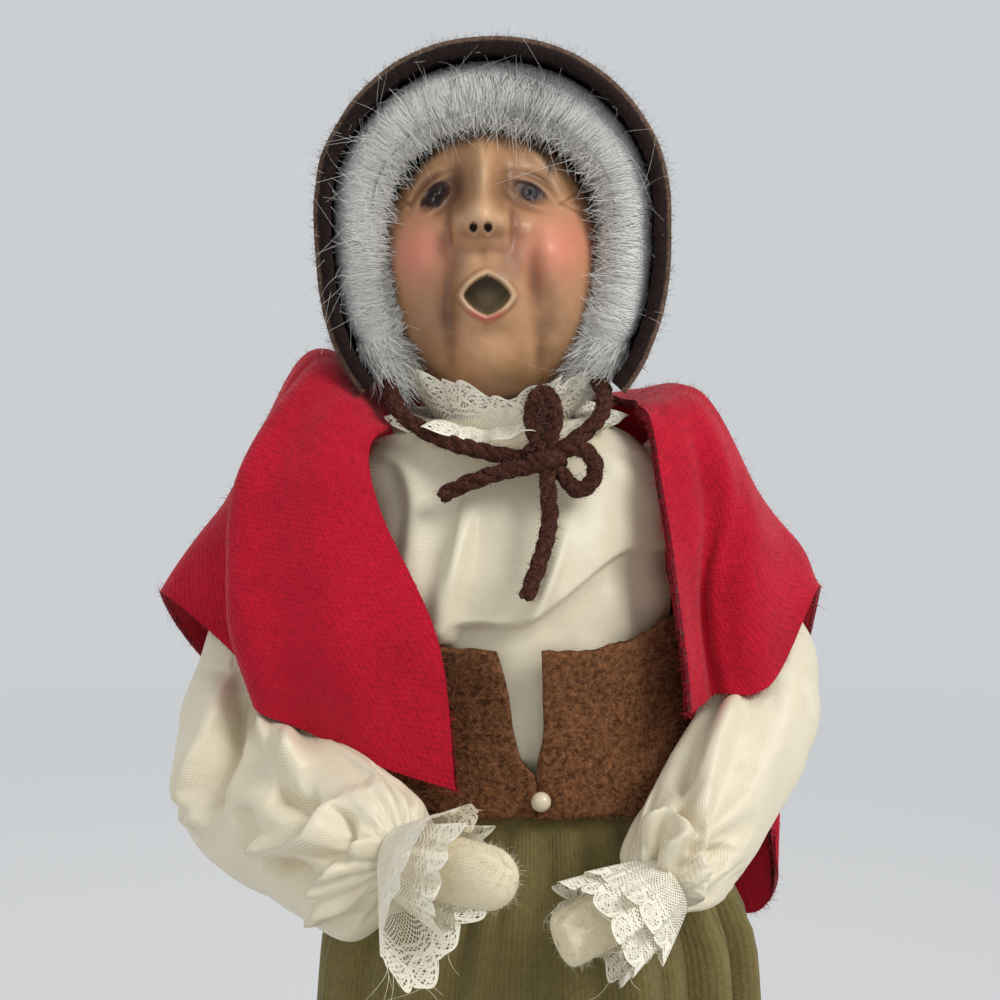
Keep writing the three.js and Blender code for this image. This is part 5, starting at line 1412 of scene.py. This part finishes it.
def make_hair():
    """A roll with hairs combed over it, and what hangs from it, all drawn from one random source."""
    angle = np.linspace(-HAIR_END, HAIR_END, 240)[None, :]
    section = np.arange(36)[:, None] * TAU / 36
    grain = 0.9 + 0.03 * wander(angle * 30, section * 0.7, 61, 1.5)
    roll = surface("hair_roll", hair_roll(angle, section, grain), round_u=True, ends=True)
    # The roll's skin is painted in shade; white strands lie over it.
    finish_piece(roll, SHADED_HAIR, "figure", ("hair",))
    rng = np.random.default_rng(62)
    close_forehead(rng)
    for side, name in ((-1, "right"), (1, "left")):
        comb_roll(rng, side, name)
        make_lock(rng, side, name)
    make_nape(rng)
    make_stray_hair(rng)


def onto_forehead(angle, t):
    """From the inside of the roll at t = 0 back to the skin of the forehead at t = 1."""
    near = hair_roll(angle, np.full_like(angle, -3.45), 0.86)
    x, z = horseshoe(angle, mix(11.9, 14.0, np.maximum(0, np.cos(angle)) ** 2))
    far = point(x, head_front(x, z) + 0.5, z)
    return mix(near, far, t[..., None])


def close_forehead(rng):
    """Hair from the inside of the roll back onto the forehead: a skin under a ragged fringe and fuzz."""
    angle = np.linspace(-2.2, 2.2, 240)[:, None]
    cap = surface("hairline", onto_forehead(angle, np.linspace(0, 1, 10)[None, :] + 0 * angle))
    # The hairline's skin is painted in shade under the fringe.
    finish_piece(cap, SHADED_HAIR, "figure")
    count = 2900
    angle = rng.uniform(-2.25, 2.25, (count, 1))
    t = np.linspace(0, 1, 5)[None, :]
    reach = rng.uniform(0.6, 1.25, (count, 1))
    drift = rng.normal(0, 0.035, (count, 1)) * t
    paths = onto_forehead(angle + drift, -0.35 + (reach + 0.35) * t)
    paths = paths + vec(0, -1, 0) * (rng.uniform(0.8, 4.2, (count, 1)) + 0.6 * t)[..., None]
    fringe = strands("forehead_fringe", paths, 0.075)
    finish_piece(fringe, MOHAIR, "figure")
    count = 2600
    angle = rng.uniform(-2.2, 2.2, count)
    roots = hair_roll(angle, rng.uniform(-2.9, -2.0, count), 1.0)
    inwards = -unit(roots - vec(HEAD[0], roots[:, 1].mean(), HEAD[2]))
    ways = unit(inwards + vec(0, -0.1, 0) + scatter(rng, count, 0.3))
    lengths = rng.uniform(1.2, 3.0, count)
    edge = fibres("hairline_fuzz", roots, ways, lengths, vec(0, 0.3, 0) + scatter(rng, count, 0.4), 0.07, 4)
    finish_piece(edge, MOHAIR, "figure")


def comb_roll(rng, side, name):
    """Tufts combed over one half of the roll, from the bonnet inwards; each closes up at its tip."""
    count, tufts = 4000, 300
    tuft = rng.integers(0, tufts, (count, 1))
    middle = side * HAIR_END * (np.arange(tufts) + rng.uniform(size=tufts)) / tufts
    lean = rng.normal(0, 0.035, tufts)
    reach = rng.uniform(-2.9, -1.9, tufts)
    stand = rng.uniform(0, 0.22, tufts)
    t = np.linspace(0, 1, 6)[None, :]
    spread = rng.normal(0, 0.03, (count, 1)) * (1 - 0.8 * t**1.5)
    curl = rng.normal(0, 0.02, (count, 1)) * np.sin(np.pi * 1.5 * t)
    first = rng.uniform(-0.6, 0.6, (count, 1))
    last = reach[tuft] + rng.normal(0, 0.18, (count, 1))
    lift = 0.94 + rng.uniform(0.0, 0.1, (count, 1)) + stand[tuft] * t**2
    lift = lift + rng.uniform(0, 0.12, (count, 1)) * t**3
    places = hair_roll(middle[tuft] + spread + lean[tuft] * t + curl, mix(first, last, t), lift)
    combed = strands(f"{name}_hair_strands", places, 0.085)
    finish_piece(combed, MOHAIR, "figure")


def make_lock(rng, side, name):
    """The end of the roll, which thins out in front of the ear and is tucked in behind the collar."""
    start_x, start_z = [float(k) for k in horseshoe(side * HAIR_END * 0.94, HAIR_SIDE[1])]
    path = through(
        [
            (start_x, HAIR_Y, start_z),
            (start_x - side * 0.9, HAIR_Y + 0.2, start_z - 3),
            (start_x - side * 2.6, HAIR_Y + 0.6, start_z - 6),
            (start_x - side * 5.0, HAIR_Y + 1.2, start_z - 8.6),
        ],
        np.linspace(0, 1, 40),
    )
    core = tube_grid(path, 28, lambda a, t: mix(3.9, 1.4, t**1.6) * (1 + 0.04 * np.sin(9 * a)))
    # The lock's core is painted in shade under its hairs.
    finish_piece(surface(f"{name}_lock", core, round_u=True, ends=True), SHADED_HAIR, "figure")
    count = 900
    i, k = rng.integers(0, 28, count), rng.integers(0, 36, count)
    roots = core[i, k]
    out = unit(roots - path[k])
    inwards = np.broadcast_to(vec(-side * 0.9, -0.2, -0.8), out.shape)
    ways = unit(out * 0.45 + inwards + scatter(rng, count, 0.25))
    lengths = rng.uniform(1.5, 4.2, count)
    hairs = fibres(f"{name}_lock_hairs", roots, ways, lengths, scatter(rng, count, 0.3), 0.075, 4)
    finish_piece(hairs, MOHAIR, "figure")


def make_nape(rng):
    """Hair combed down over the back of the head, under the bonnet."""

    def nape(u, v, offset):
        turn, rise = mix(0.56, 1.44, u) * np.pi, mix(-0.7, 0.6, v)
        x = HEAD[0] + (HEAD_HALF[0] + offset) * np.sin(turn) * np.cos(rise)
        y = HEAD[1] - (HEAD_HALF[1] + offset) * np.cos(turn) * np.cos(rise)
        return point(x, y, HEAD[2] + (HEAD_HALF[2] + offset) * np.sin(rise) + 0 * turn)

    u, v = np.linspace(0, 1, 120)[:, None], np.linspace(0, 1, 40)[None, :]
    base = cloth("nape_base", nape(u, v, 1.6), 1.8)
    # The base is painted in shade under the combed strands.
    finish_piece(base, SHADED_HAIR, "figure", ("nape_hair",))
    count = 1100
    at = rng.uniform(0, 1, (count, 1))
    t = np.linspace(1, 0, 6)[None, :]
    offset = 2.7 + rng.uniform(0, 0.6, (count, 1)) + 0 * t
    wave = at + rng.normal(0, 0.02, (count, 1)) * np.sin(4 * t) - (at - 0.5) * 0.25 * (1 - t)
    down = t - rng.uniform(0, 0.04, (count, 1)) * (1 - t)
    combed = strands("nape_strands", nape(wave, down, offset), 0.085)
    finish_piece(combed, MOHAIR, "figure")


def make_stray_hair(rng):
    """Single hairs that have worked loose: long ones beside the bonnet, short ones over the forehead."""
    count = 180
    angle = 0.84 * rng.uniform(-RIM_END, RIM_END, count)
    angle = np.where(rng.uniform(size=count) < 0.4, -np.abs(angle), angle)
    roots = hair_roll(angle, rng.uniform(-2.2, -0.4, count))
    out = unit(roots - vec(HEAD[0], roots[:, 1].mean(), HEAD[2]))
    ways = unit(out * rng.uniform(0.2, 1.0, (count, 1)) + vec(0, -0.5, 0) + scatter(rng, count, 0.55))
    bends = scatter(rng, count, 0.95) + vec(0, 0, -0.25)
    strays = fibres("stray_hair", roots, ways, rng.uniform(2.5, 9, count), bends, 0.035, 9)
    finish_piece(strays, MOHAIR, "figure")
    count = 130
    angle = rng.normal(0, 0.75, count)
    roots = hair_roll(angle, rng.uniform(-2.6, -1.9, count))
    inwards = -unit(roots - vec(HEAD[0], roots[:, 1].mean(), HEAD[2]))
    ways = unit(inwards + vec(0, -0.75, 0) + scatter(rng, count, 0.45))
    bends = inwards * 0.3 + vec(0, 0.25, 0) + scatter(rng, count, 0.5)
    fringe = fibres("forehead_wisps", roots, ways, rng.uniform(1.6, 5.5, count), bends, 0.05, 8)
    finish_piece(fringe, MOHAIR, "figure")


# Lace


def lace_strip(scallops, depth, rows):
    """A closed strip of lace: angle, share of its depth down to the scalloped edge, and its pattern's map."""
    columns = scallops * 20
    angle = np.arange(columns)[:, None] * TAU / columns
    share = np.linspace(0, 1, rows)[None, :]
    across = scallops * angle / TAU
    full = 0.9 + 0.1 * np.abs(np.sin(np.pi * across)) ** 0.6
    uv = np.stack(np.broadcast_arrays(across, depth * (1 - share)), axis=-1)
    return angle, share * full, uv


NECK = vec(-5, -2.5, 0)  # the middle of the collar


def make_collar():
    """Two tiers of gathered lace: one stands up against the jaw, the other lies outwards over the blouse.

    Each is a ring that widens from its inner edge and is ruffled by two sines of its angle.
    """
    tiers = (
        ("standing", 11.8, 17.0, 6.6, 5.0, 2.3, 0.0, 8.0),
        ("lying", 12.4, 19.4, -1.2, 0.6, 2.3, 1.7, 8.5),
    )
    for tier, inner, outer, rise, beside, sway, phase, depth in tiers:
        angle, v, uv = lace_strip(22, depth, 22)
        front = np.maximum(0, -np.sin(angle))
        ruffle = np.sin(9 * angle + phase + 0.8 * np.sin(2 * angle)) + 0.35 * np.sin(22 * angle)
        ruffle = sway * ruffle * v**0.8
        r = mix(inner, outer, v) + 1.0 * ruffle
        neckline = mix(262.9, 266, (1 + np.sin(angle)) / 2)
        lifted = rise + beside * np.abs(np.cos(angle)) ** 2 * front**0.3
        z = neckline + lifted * v + 0.5 * ruffle + 1.2 * np.sin(np.pi * v) * (tier == "lying")
        grid = NECK + point(r * np.cos(angle), r * np.sin(angle), z)
        lace = surface(f"collar_{tier}", grid, round_u=True, uv=uv)
        finish_piece(lace, IVORY_LACE, "figure", ("lace_collar",) if tier == "standing" else ())


# Arms

# For each arm: places, the sleeve's radii, the cuff's tiers as make_cuff takes them, and the mitten's half
# height, half thickness and bluntness. Each fold has its line seen from the front, its width, its height
# (below 0 for a hollow) and how wide its lee side is.
RIGHT = {
    "shoulder": vec(-33.8, 3, 261.5),
    "elbow": vec(-50.5, -6.5, 207.5),
    "wrist": vec(-21.5, -41, 197),
    "tip": vec(-3, -50, 195.4),
    "ball": 9.4,
    "elbow_ball": 12.3,
    "swell": 12.1,
    "sag": 4.3,
    "tiers": (("lower", 5.8, 10.8, 8.0, 0.5, 8.5, 0.0, 0.6), ("upper", 5.6, 8.0, 1.2, -0.5, 13.0, 1.3, 0.9)),
    "hand": (5.3, 4.6, 3),
    "folds": (
        (
            ((-50.6, 222), (-51, 216.5), (-52.3, 212), (-54.6, 208), (-56, 204.4), (-55.4, 200)),
            4.0, 1.8, 0.25,
        ),
        (((-48.4, 219), (-50, 211), (-52.6, 205.5), (-53, 201)), 1.5, -1.9, 1.0),
        (((-60, 198.4), (-57, 199), (-53.5, 200.6)), 2.2, 0.9, 0.4),
        (((-45.5, 213), (-42.5, 214.8), (-39.5, 213), (-37.5, 209)), 2.4, 2.4, 0.6),
        (((-42.5, 206.2), (-38, 204.4), (-34, 204.8)), 1.8, -1.6, 1.0),
        (((-45.5, 197.8), (-41, 198.2), (-37.2, 199.3), (-33.5, 201), (-29.5, 206.5)), 2.0, 2.0, 0.5),
        (((-44, 194.5), (-38, 195.2), (-35.5, 191)), 2.0, -1.7, 1.0),
        (((-34.5, 192.5), (-29.6, 196.7), (-24.5, 200.6)), 1.7, 1.9, 0.55),
        (((-29.9, 204.5), (-29.5, 200.5), (-27.2, 197)), 1.2, -1.4, 1.0),
        (((-36.5, 185.4), (-32.8, 190), (-26, 192.4)), 1.8, 1.8, 0.5),
        (((-48, 203), (-46, 199), (-46.5, 194)), 1.6, -1.0, 1.0),
        (((-27.5, 189.5), (-25.5, 193), (-24, 196)), 1.0, -1.1, 1.0),
    ),
}
LEFT = {
    "shoulder": vec(26.3, 3, 256.5),
    "elbow": vec(40.8, -5, 219),
    "wrist": vec(19.5, -40, 191.5),
    "tip": vec(3.5, -48, 185.6),
    "ball": 7.8,
    "elbow_ball": 9.6,
    "swell": 9.4,
    "sag": 1.4,
    "tiers": (("lower", 5.6, 8.4, 0.8, 0.0, 14.0, 0.0, 0.85), ("upper", 5.4, 8.0, 0.8, -1.0, 10.0, 1.3, 0.7)),
    "hand": (4.8, 3.4, 16),
    "folds": (
        (((33, 223), (28.3, 216.5), (25.3, 211.5), (22.8, 206)), 1.5, -2.2, 1.0),
        (((34.6, 219.6), (29.8, 212.2), (27.2, 206.7), (25.4, 199.5), (22.2, 192)), 2.5, 1.7, 0.5),
        (
            ((15, 204.4), (17.3, 200.8), (21, 201.4), (23.7, 199.6), (21.4, 197.6), (17.8, 195.4)),
            1.4, 2.1, 0.7,
        ),
        (((22.6, 203.6), (24.4, 200.8), (23.6, 197)), 1.1, -1.6, 1.0),
        (((19, 198.8), (18.6, 196.8), (16, 194.6)), 1.0, -1.9, 1.0),
        (((23.4, 197.6), (21.6, 194), (19.9, 190)), 1.1, -1.6, 1.0),
        (((15.4, 203.5), (14.8, 200), (14.3, 196.5)), 1.0, -1.4, 1.0),
        (((29.5, 198.6), (28.5, 195.5)), 2.6, -1.0, 1.0),
        (((20, 213), (17, 208.5), (13.5, 203)), 2.2, 1.2, 0.6),
        (((26.5, 197), (24, 191), (21.5, 187.5)), 1.4, 1.2, 0.6),
    ),
}


def make_sleeve(side, arm, seed):
    """One sleeve along the bent arm, full above the cuff, with folds that gather at elbow and wrist.

    Its radius is a profile along the arm, plus a droop below, ripples at the elbow, long folds and gathers.
    The cloth then settles, and the folds seen from the front are pushed out along their lines.
    """
    shoulder, elbow, wrist = arm["shoulder"], arm["elbow"], arm["wrist"]
    top = shoulder - unit(elbow - shoulder) * arm["ball"] * 0.75
    upper = [mix(shoulder, elbow, share) for share in (0.35, 0.78)]
    lower = [mix(elbow, wrist, share) for share in (0.16, 0.55)]
    path = route_curve([top, *upper, *lower, wrist], 230)
    distance = np.concatenate([[0], np.cumsum(np.linalg.norm(np.diff(path, axis=0), axis=1))])
    elbow_at = distance[np.argmin(np.linalg.norm(path - elbow, axis=1))]
    total = distance[-1]
    profile = smooth_rows([
        [0, 0.1],
        [arm["ball"] * 0.35, arm["ball"] * 0.82],
        [arm["ball"] * 1.1, arm["ball"]],
        [elbow_at * 0.75, arm["ball"] * 1.02],
        [elbow_at, arm["elbow_ball"]],
        [mix(elbow_at, total, 0.45), arm["swell"]],
        [mix(elbow_at, total, 0.78), arm["swell"] * 0.91],
        [mix(elbow_at, total, 0.92), arm["swell"] * 0.74],
        [total, 5.2],
    ])
    tangent, across, up = frames_along(path)
    down = -vec(0, 0, 1) + tangent * tangent[:, 2:3]
    droop_angle = np.arctan2((down * up).sum(1), (down * across).sum(1))[None, :]

    def radius(angle, _):
        s = distance[None, :] + 0 * angle
        along = (s - elbow_at) / (total - elbow_at)
        under = np.maximum(0, np.cos(angle - droop_angle)) ** 1.5
        droop = arm["sag"] * under * smooth(-0.35, 0.15, along) * smooth(1.0, 0.85, along)
        near_elbow = np.exp(-(((s - elbow_at) / 11) ** 2))
        ripples = crease(0.62 * s + 1.6 * np.sin(angle + 0.8) + 0.8 * np.sin(2 * angle), 1.6) - 0.6
        ripples = 0.9 * ripples * near_elbow
        long_folds = 0.6 * np.sin(5 * angle + 0.06 * s + np.sin(2 * angle + 0.05 * s))
        long_folds = long_folds * smooth(-0.2, 0.5, along)
        drape = 0.5 * wander(angle * 1.6, s * 0.09, seed, 1.0, 4) * smooth(0, 20, s)
        gathers = 0.9 * (crease(13 * angle + 2 * np.sin(3 * angle), 1.8) - 0.5) * smooth(0.7, 0.94, along)
        facing = -(np.cos(angle) * across[None, :, 1] + np.sin(angle) * up[None, :, 1])
        plain = smooth(0, 6, s) * smooth(1.0, 0.93, along) * mix(1, 0.25, smooth(-0.2, 0.5, facing))
        return profile(s)[0] + droop + (ripples + long_folds + drape) * plain + gathers

    grid = settle_cloth(tube_grid(path, 190, radius), 0.6, 0.08, 1.3)
    out = unit(grid - path[None])
    seen = smooth(0.0, 0.5, -out[..., 1])
    folds = 2.1 * sum(stroke(grid[..., 0], grid[..., 2], *fold) for fold in arm["folds"])
    grid = grid + out * (folds * seen)[..., None]
    sleeve = surface(f"{side}_sleeve_cloth", grid, round_u=True, ends=True)
    finish_piece(sleeve, SATEEN, None, (f"{side}_sleeve_upper", f"{side}_sleeve_lower"))
    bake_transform(sleeve)


def hand_frame(arm, turn):
    """Directions at the wrist: from the forearm's turned towards the hand's by a share, across it and up."""
    along = unit(mix(unit(arm["wrist"] - arm["elbow"]), unit(arm["tip"] - arm["wrist"]), turn))
    across = unit(np.cross([0, 0, 1.0], along))
    return along, across, np.cross(along, across)


def make_cuff(side, arm, tier, inner, outer, drop, push, reach, phase, turn):
    """A tier of gathered lace that flares round the wrist towards the hand.

    Its radius grows along the hand, most of all below, and two sines of its angle ruffle it.
    """
    along, across, up = hand_frame(arm, turn)
    depth = float(np.hypot(outer - inner, reach)) + 1.5
    angle, v, uv = lace_strip(round(TAU * outer / SCALLOP), depth, 26)
    low = np.maximum(0, -np.sin(angle))
    wave = np.sin(7 * angle + phase + 0.9 * np.sin(2 * angle)) + 0.4 * np.sin(17 * angle + phase)
    r = mix(inner, outer + drop * low, v**0.9) + 1.1 * wave * v
    forward = push + reach * v + 0.6 * v * wave - 2 * v * low
    grid = (
        arm["wrist"] + along * forward[..., None]
        + across * (r * np.cos(angle))[..., None] + up * (r * np.sin(angle))[..., None]
    )
    lace = surface(f"{side}_cuff_{tier}", grid, round_u=True, uv=uv)
    replaced = (f"{side}_cuff_lace",) if tier == "lower" else ()
    finish_piece(lace, IVORY_LACE, f"{side}_forearm", replaced)
    if tier == "lower":
        loose_threads(side, grid)


def loose_threads(side, grid):
    """A few ends of thread that hang from the lace's edge."""
    rng = np.random.default_rng(75 + int(side == "left"))
    count = 26
    i = rng.integers(0, grid.shape[0], count)
    ways = unit(vec(0, -0.3, -0.8) + scatter(rng, count, 0.6))
    lengths = rng.uniform(1, 6, count)
    threads = fibres(f"{side}_threads", grid[i, -1], ways, lengths, scatter(rng, count, 0.5), 0.07, 8)
    finish_piece(threads, COTTON_FIBRE, f"{side}_forearm")


def make_mitten(side, arm):
    """A mitten of jersey over the bent wire, blunt at the finger end, with a crease for the palm.

    An oval along the hand, times a root that closes its end and bell curves that dent it.
    """
    half_height, half_thick, blunt = arm["hand"]
    length = np.linalg.norm(arm["tip"] - arm["wrist"])
    along, across, up = hand_frame(arm, 1)
    angle = ring_angles(120)[:, None]
    t = np.linspace(0, 1, 90)[None, :] ** 0.9
    end = np.maximum(0.0004, 1 - np.maximum(0, (t - 0.62) / 0.38) ** blunt) ** 0.5
    grow = mix(0.62, 1, smooth(0, 0.4, t)) * end
    palm = 1 - 0.15 * np.exp(-(((angle - np.pi / 2) / 0.45) ** 2)) * smooth(0.35, 0.9, t)
    tuck = 1 - 0.22 * np.exp(-(((angle - np.pi / 2) / 0.5) ** 2)) * np.exp(-(((t - 0.93) / 0.05) ** 2))
    lumps = tuck * (1 + 0.02 * wander(angle * 2, t * 5, 71, 1.0))
    d = (0.5 + (length - 0.5) * t)[..., None]
    grid = (
        arm["wrist"] + along * d
        + across * (half_thick * grow * lumps * np.cos(angle))[..., None]
        + up * (half_height * grow * palm * lumps * np.sin(angle))[..., None]
    )
    mitten = surface(f"{side}_mitten", grid, round_u=True, ends=True)
    finish_piece(mitten, JERSEY, f"{side}_forearm", (f"{side}_hand",))
    rng = np.random.default_rng(72)
    count = 1700
    i, k = rng.integers(0, 120, count), rng.integers(10, 90, count)
    out = unit(grid[i, k] - arm["wrist"] - along * d[0, k])
    ways = unit(out + scatter(rng, count, 0.7))
    lengths = rng.uniform(0.25, 1.3, count)
    nap = fibres(f"{side}_mitten_nap", grid[i, k], ways, lengths, scatter(rng, count, 0.5), 0.03, 3)
    finish_piece(nap, COTTON_FIBRE, f"{side}_forearm")


def make_arm(side, arm, seed):
    """Sleeve, lace cuff and mitten of one arm."""
    make_sleeve(side, arm, seed)
    for tier in arm["tiers"]:
        make_cuff(side, arm, *tier)
    make_mitten(side, arm)


# Shawl: lines that the cloth is laid along, from the neck edge down to the hem. Each runs from the right
# front edge, round the back, to the left front edge.

SHAWL_THICKNESS = 1.5
SHAWL_LINES = np.array([
    [
        (-23.5, -14, 263), (-24.5, -9, 263.5), (-25, -4, 265), (-25, 1, 267), (-24, 7, 268), (-17, 15, 268),
        (-4, 19, 267), (10, 15, 267), (14, 11, 267), (16, 6, 266.5), (17.5, 1, 266.5), (17.8, -4, 266.5),
        (17.5, -9, 266),
    ],
    [
        (-27, -19, 260.5), (-32, -16, 266.5), (-36, -9, 272), (-37, -3, 274.2), (-37.2, 4, 274),
        (-29, 18, 269), (-4, 24, 264), (18, 17, 265), (23.5, 13, 267), (27.5, 7, 267.8), (28.6, 0, 267.6),
        (26, -8, 265.5), (19.5, -14.5, 263.5),
    ],
    [
        (-25.2, -23.5, 250), (-36, -25, 252.5), (-47, -18, 254), (-47.3, -9, 254.5), (-50, 3, 253.5),
        (-43, 19, 250), (-3, 29, 246), (29, 20, 247), (35, 13, 248.5), (39, 5, 250), (36.5, -8, 251.5),
        (30, -12.5, 252), (21.5, -20.5, 250.5),
    ],
    [
        (-15.5, -28, 229), (-32, -30, 230.5), (-47.2, -22.5, 234), (-46.8, -14.2, 238), (-57, -1, 243),
        (-51, 18, 230), (-2, 32, 216), (40, 23, 216), (44, 12, 226), (46, 0, 242), (36.5, -17.5, 236.5),
        (29, -15.5, 236), (22.5, -23.5, 238),
    ],
    [
        (-12.6, -29.5, 205.5), (-27, -27.2, 209.9), (-43.6, -20.5, 218.5), (-48, -15, 224),
        (-62.8, -3, 233.6), (-51, 18, 213), (4, 38, 184), (42, 31, 169), (45.5, 20, 196), (49.3, -3, 234.6),
        (38.7, -19.5, 221), (30.5, -19, 219.5), (25.3, -26, 217.5),
    ],
], float)
SHAWL_MIDDLE = 6 / 12  # the share of the way round at which the back is parted for the two arms


def shawl_grid(across, down):
    """The cloth between the lines, with its folds: [across][down], right front edge first.

    Smooth curves run along each line and from line to line, and the folds lift them along their normals.
    """
    lines = np.stack([through(line, np.linspace(0, 1, across)) for line in SHAWL_LINES])
    grid = through(lines, np.linspace(0, 1, down)).transpose(1, 0, 2)
    normals = grid_normals(grid)
    u, v = np.meshgrid(np.linspace(0, 1, across), np.linspace(0, 1, down), indexing="ij")
    back = hump(u - 0.5, 0, 0.2, 1)
    soft = 0.7 * wander(u * 14, v * 3.5, 101, 1.0, 4) * smooth(0, 0.25, v)
    hang = 1.3 * np.sin(34 * u + 2.2 * np.sin(5 * u) + 1.1 * v) * smooth(0.15, 0.8, v) * back
    rolled = 2.3 * hump(u - 0.16, 0, 0.022, 1) - 2.4 * hump(u - 0.203, 0, 0.015, 1)
    left_fold = 1.3 * hump(u - 0.895, 0, 0.018, 1) - 1.0 * hump(u - 0.93, 0, 0.014, 1)
    panels = (rolled + left_fold) * smooth(0.2, 0.5, v)
    return grid + normals * (soft + hang + panels)[..., None]


def make_shawl():
    """One sheet, parted along the back into a piece for each arm, with the shading of the whole."""
    across, down = 340, 110
    grid = shawl_grid(across, down)
    normals = grid_normals(grid)
    parted = int(across * SHAWL_MIDDLE)
    for side, part, arm in (("right", slice(0, parted + 1), RIGHT), ("left", slice(parted, across), LEFT)):
        piece = cloth(f"{side}_shawl", grid[part], SHAWL_THICKNESS, normals=normals[part])
        finish_piece(piece, RED_WOOL, None, ("shawl",) if side == "right" else ())
        shade = np.concatenate([normals[part].reshape(-1, 3), -normals[part].reshape(-1, 3)])
        piece.data.normals_split_custom_set_from_vertices(shade.tolist())
        nap = shawl_nap(side, grid[part], normals[part])
        for cloth_part in (piece, nap):
            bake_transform(cloth_part)


def shawl_nap(side, grid, normals):
    """Wool hairs: a thin nap over the cloth and a frayed fringe along its cut edges."""
    rng = np.random.default_rng(105 + int(side == "left"))
    columns, rows = grid.shape[:2]
    count = 4400
    i, j = rng.integers(0, columns, count), rng.integers(0, rows, count)
    edge = rng.uniform(size=count)
    front = columns - 1 if side == "left" else 0
    i = np.where(edge < 0.18, front, i)
    j = np.where((edge > 0.18) & (edge < 0.45), rows - 1, j)
    outwards = unit(grid[i, j] - grid.mean((0, 1)))
    face = np.sign(rng.normal(0.6, 1, count))[:, None] * normals[i, j]
    at_edge = (edge < 0.45)[:, None]
    roots = grid[i, j] + face * SHAWL_THICKNESS * np.where(at_edge, rng.uniform(-0.5, 0.5, (count, 1)), 0.48)
    inside = grid[np.clip(i + np.where(front, -3, 3), 0, columns - 1), np.maximum(j - 3, 0)]
    fray = unit(grid[i, j] - inside + 1e-6)
    ways = unit(np.where(at_edge, fray, face * 0.5 + 0.3 * outwards) + scatter(rng, count, 0.5))
    lengths = np.where(at_edge[:, 0], rng.uniform(0.3, 1.1, count), rng.uniform(0.3, 0.9, count))
    nap = fibres(f"{side}_shawl_nap", roots, ways, lengths, scatter(rng, count, 0.6), 0.035, 2)
    finish_piece(nap, RED_FIBRE)
    return nap


# Base, shoes, legs and the hidden inside

FEET = vec(9.5, -14, 9.3)  # the middle of the left leg, at the base's top
SHOE_LENGTH = 28
SHOE_WIDTH = 12
SHOE_HEIGHT = 9
SHOE_HEEL = 9  # how far the heel lies behind the middle of the leg
LEG_TOP = 130
BOOT_PROFILE = smooth_rows([[0, 6.4], [0.5, 6.3], [0.9, 6.6], [0.96, 6.55], [1, 5.6]])


def make_shoe(side, x):
    """The foot of the shoe, round at the toe and narrow in the waist of its sole."""
    s = np.linspace(0, 1, 90)[None, :]
    angle = ring_angles(100)[:, None]
    toe = np.sqrt(np.maximum(0.0004, 1 - np.maximum(0, (s - 0.62) / 0.38) ** 2.4))
    heel = np.sqrt(np.maximum(0.02, 1 - np.maximum(0, (0.2 - s) / 0.2) ** 2))
    half = SHOE_WIDTH / 2 * toe * heel * (1 - 0.16 * np.exp(-(((s - 0.36) / 0.16) ** 2)))
    rise = SHOE_HEIGHT * mix(1, 0.74, smooth(0.4, 0.9, s)) * np.sqrt(toe)
    z = FEET[2] + rise * np.maximum(0, np.sin(angle)) ** 0.7
    grid = point(x + half * np.cos(angle), FEET[1] + SHOE_HEEL - s * SHOE_LENGTH, z)
    foot = surface(f"{side}_shoe_foot", grid, round_u=True, ends=True)
    finish_piece(foot, SHOE_PAINT, "figure", (f"{side}_shoe",))


def make_leg(side, x):
    """The boot's shaft, and above it the leg's wadding: a tube with a crease that winds round it."""
    path = point(x, FEET[1], np.linspace(FEET[2] + 2, FEET[2] + 20, 40))
    grid = tube_grid(path, 60, lambda a, t: BOOT_PROFILE(t)[0] + 0 * a)
    shaft = surface(f"{side}_boot_shaft", grid, round_u=True, ends=True)
    finish_piece(shaft, SHOE_PAINT, "figure")
    path = point(x, FEET[1], np.linspace(FEET[2] + 9, LEG_TOP, 200))
    turns = 9
    grid = tube_grid(path, 40, lambda a, t: 4.45 + 0.18 * crease(a + TAU * turns * t, 6.0))
    leg = surface(f"{side}_leg_wrap", grid, round_u=True, ends=True)
    finish_piece(leg, WADDING, "figure", (f"{side}_leg_padding",))


def dress_cad_nodes():
    """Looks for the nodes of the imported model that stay: the base, and the wires and wadding inside."""
    looks = {"base": BLACK_PAINT, "body_padding": WADDING}
    looks.update((name, STEEL) for name in ("armature_wire", "shoulder_wire", "cincher_pin"))
    for part in ("right_upper_arm", "right_forearm", "left_upper_arm", "left_forearm"):
        looks[f"{part}_wire"] = STEEL
        looks[f"{part}_padding"] = WADDING
    for name, look in looks.items():
        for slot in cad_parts[name].material_slots:
            slot.material = look


# Building

set_stage()
make_ties()
make_tuft()
make_knot()
make_skirt()
make_petticoat()
make_blouse()
make_cincher()
make_pin()
make_head()
make_bonnet()
make_hair()
make_collar()
make_arm("right", RIGHT, 81)
make_arm("left", LEFT, 93)
make_shawl()
for side, x in (("right", -FEET[0]), ("left", FEET[0])):
    make_shoe(side, x)
    make_leg(side, x)
dress_cad_nodes()
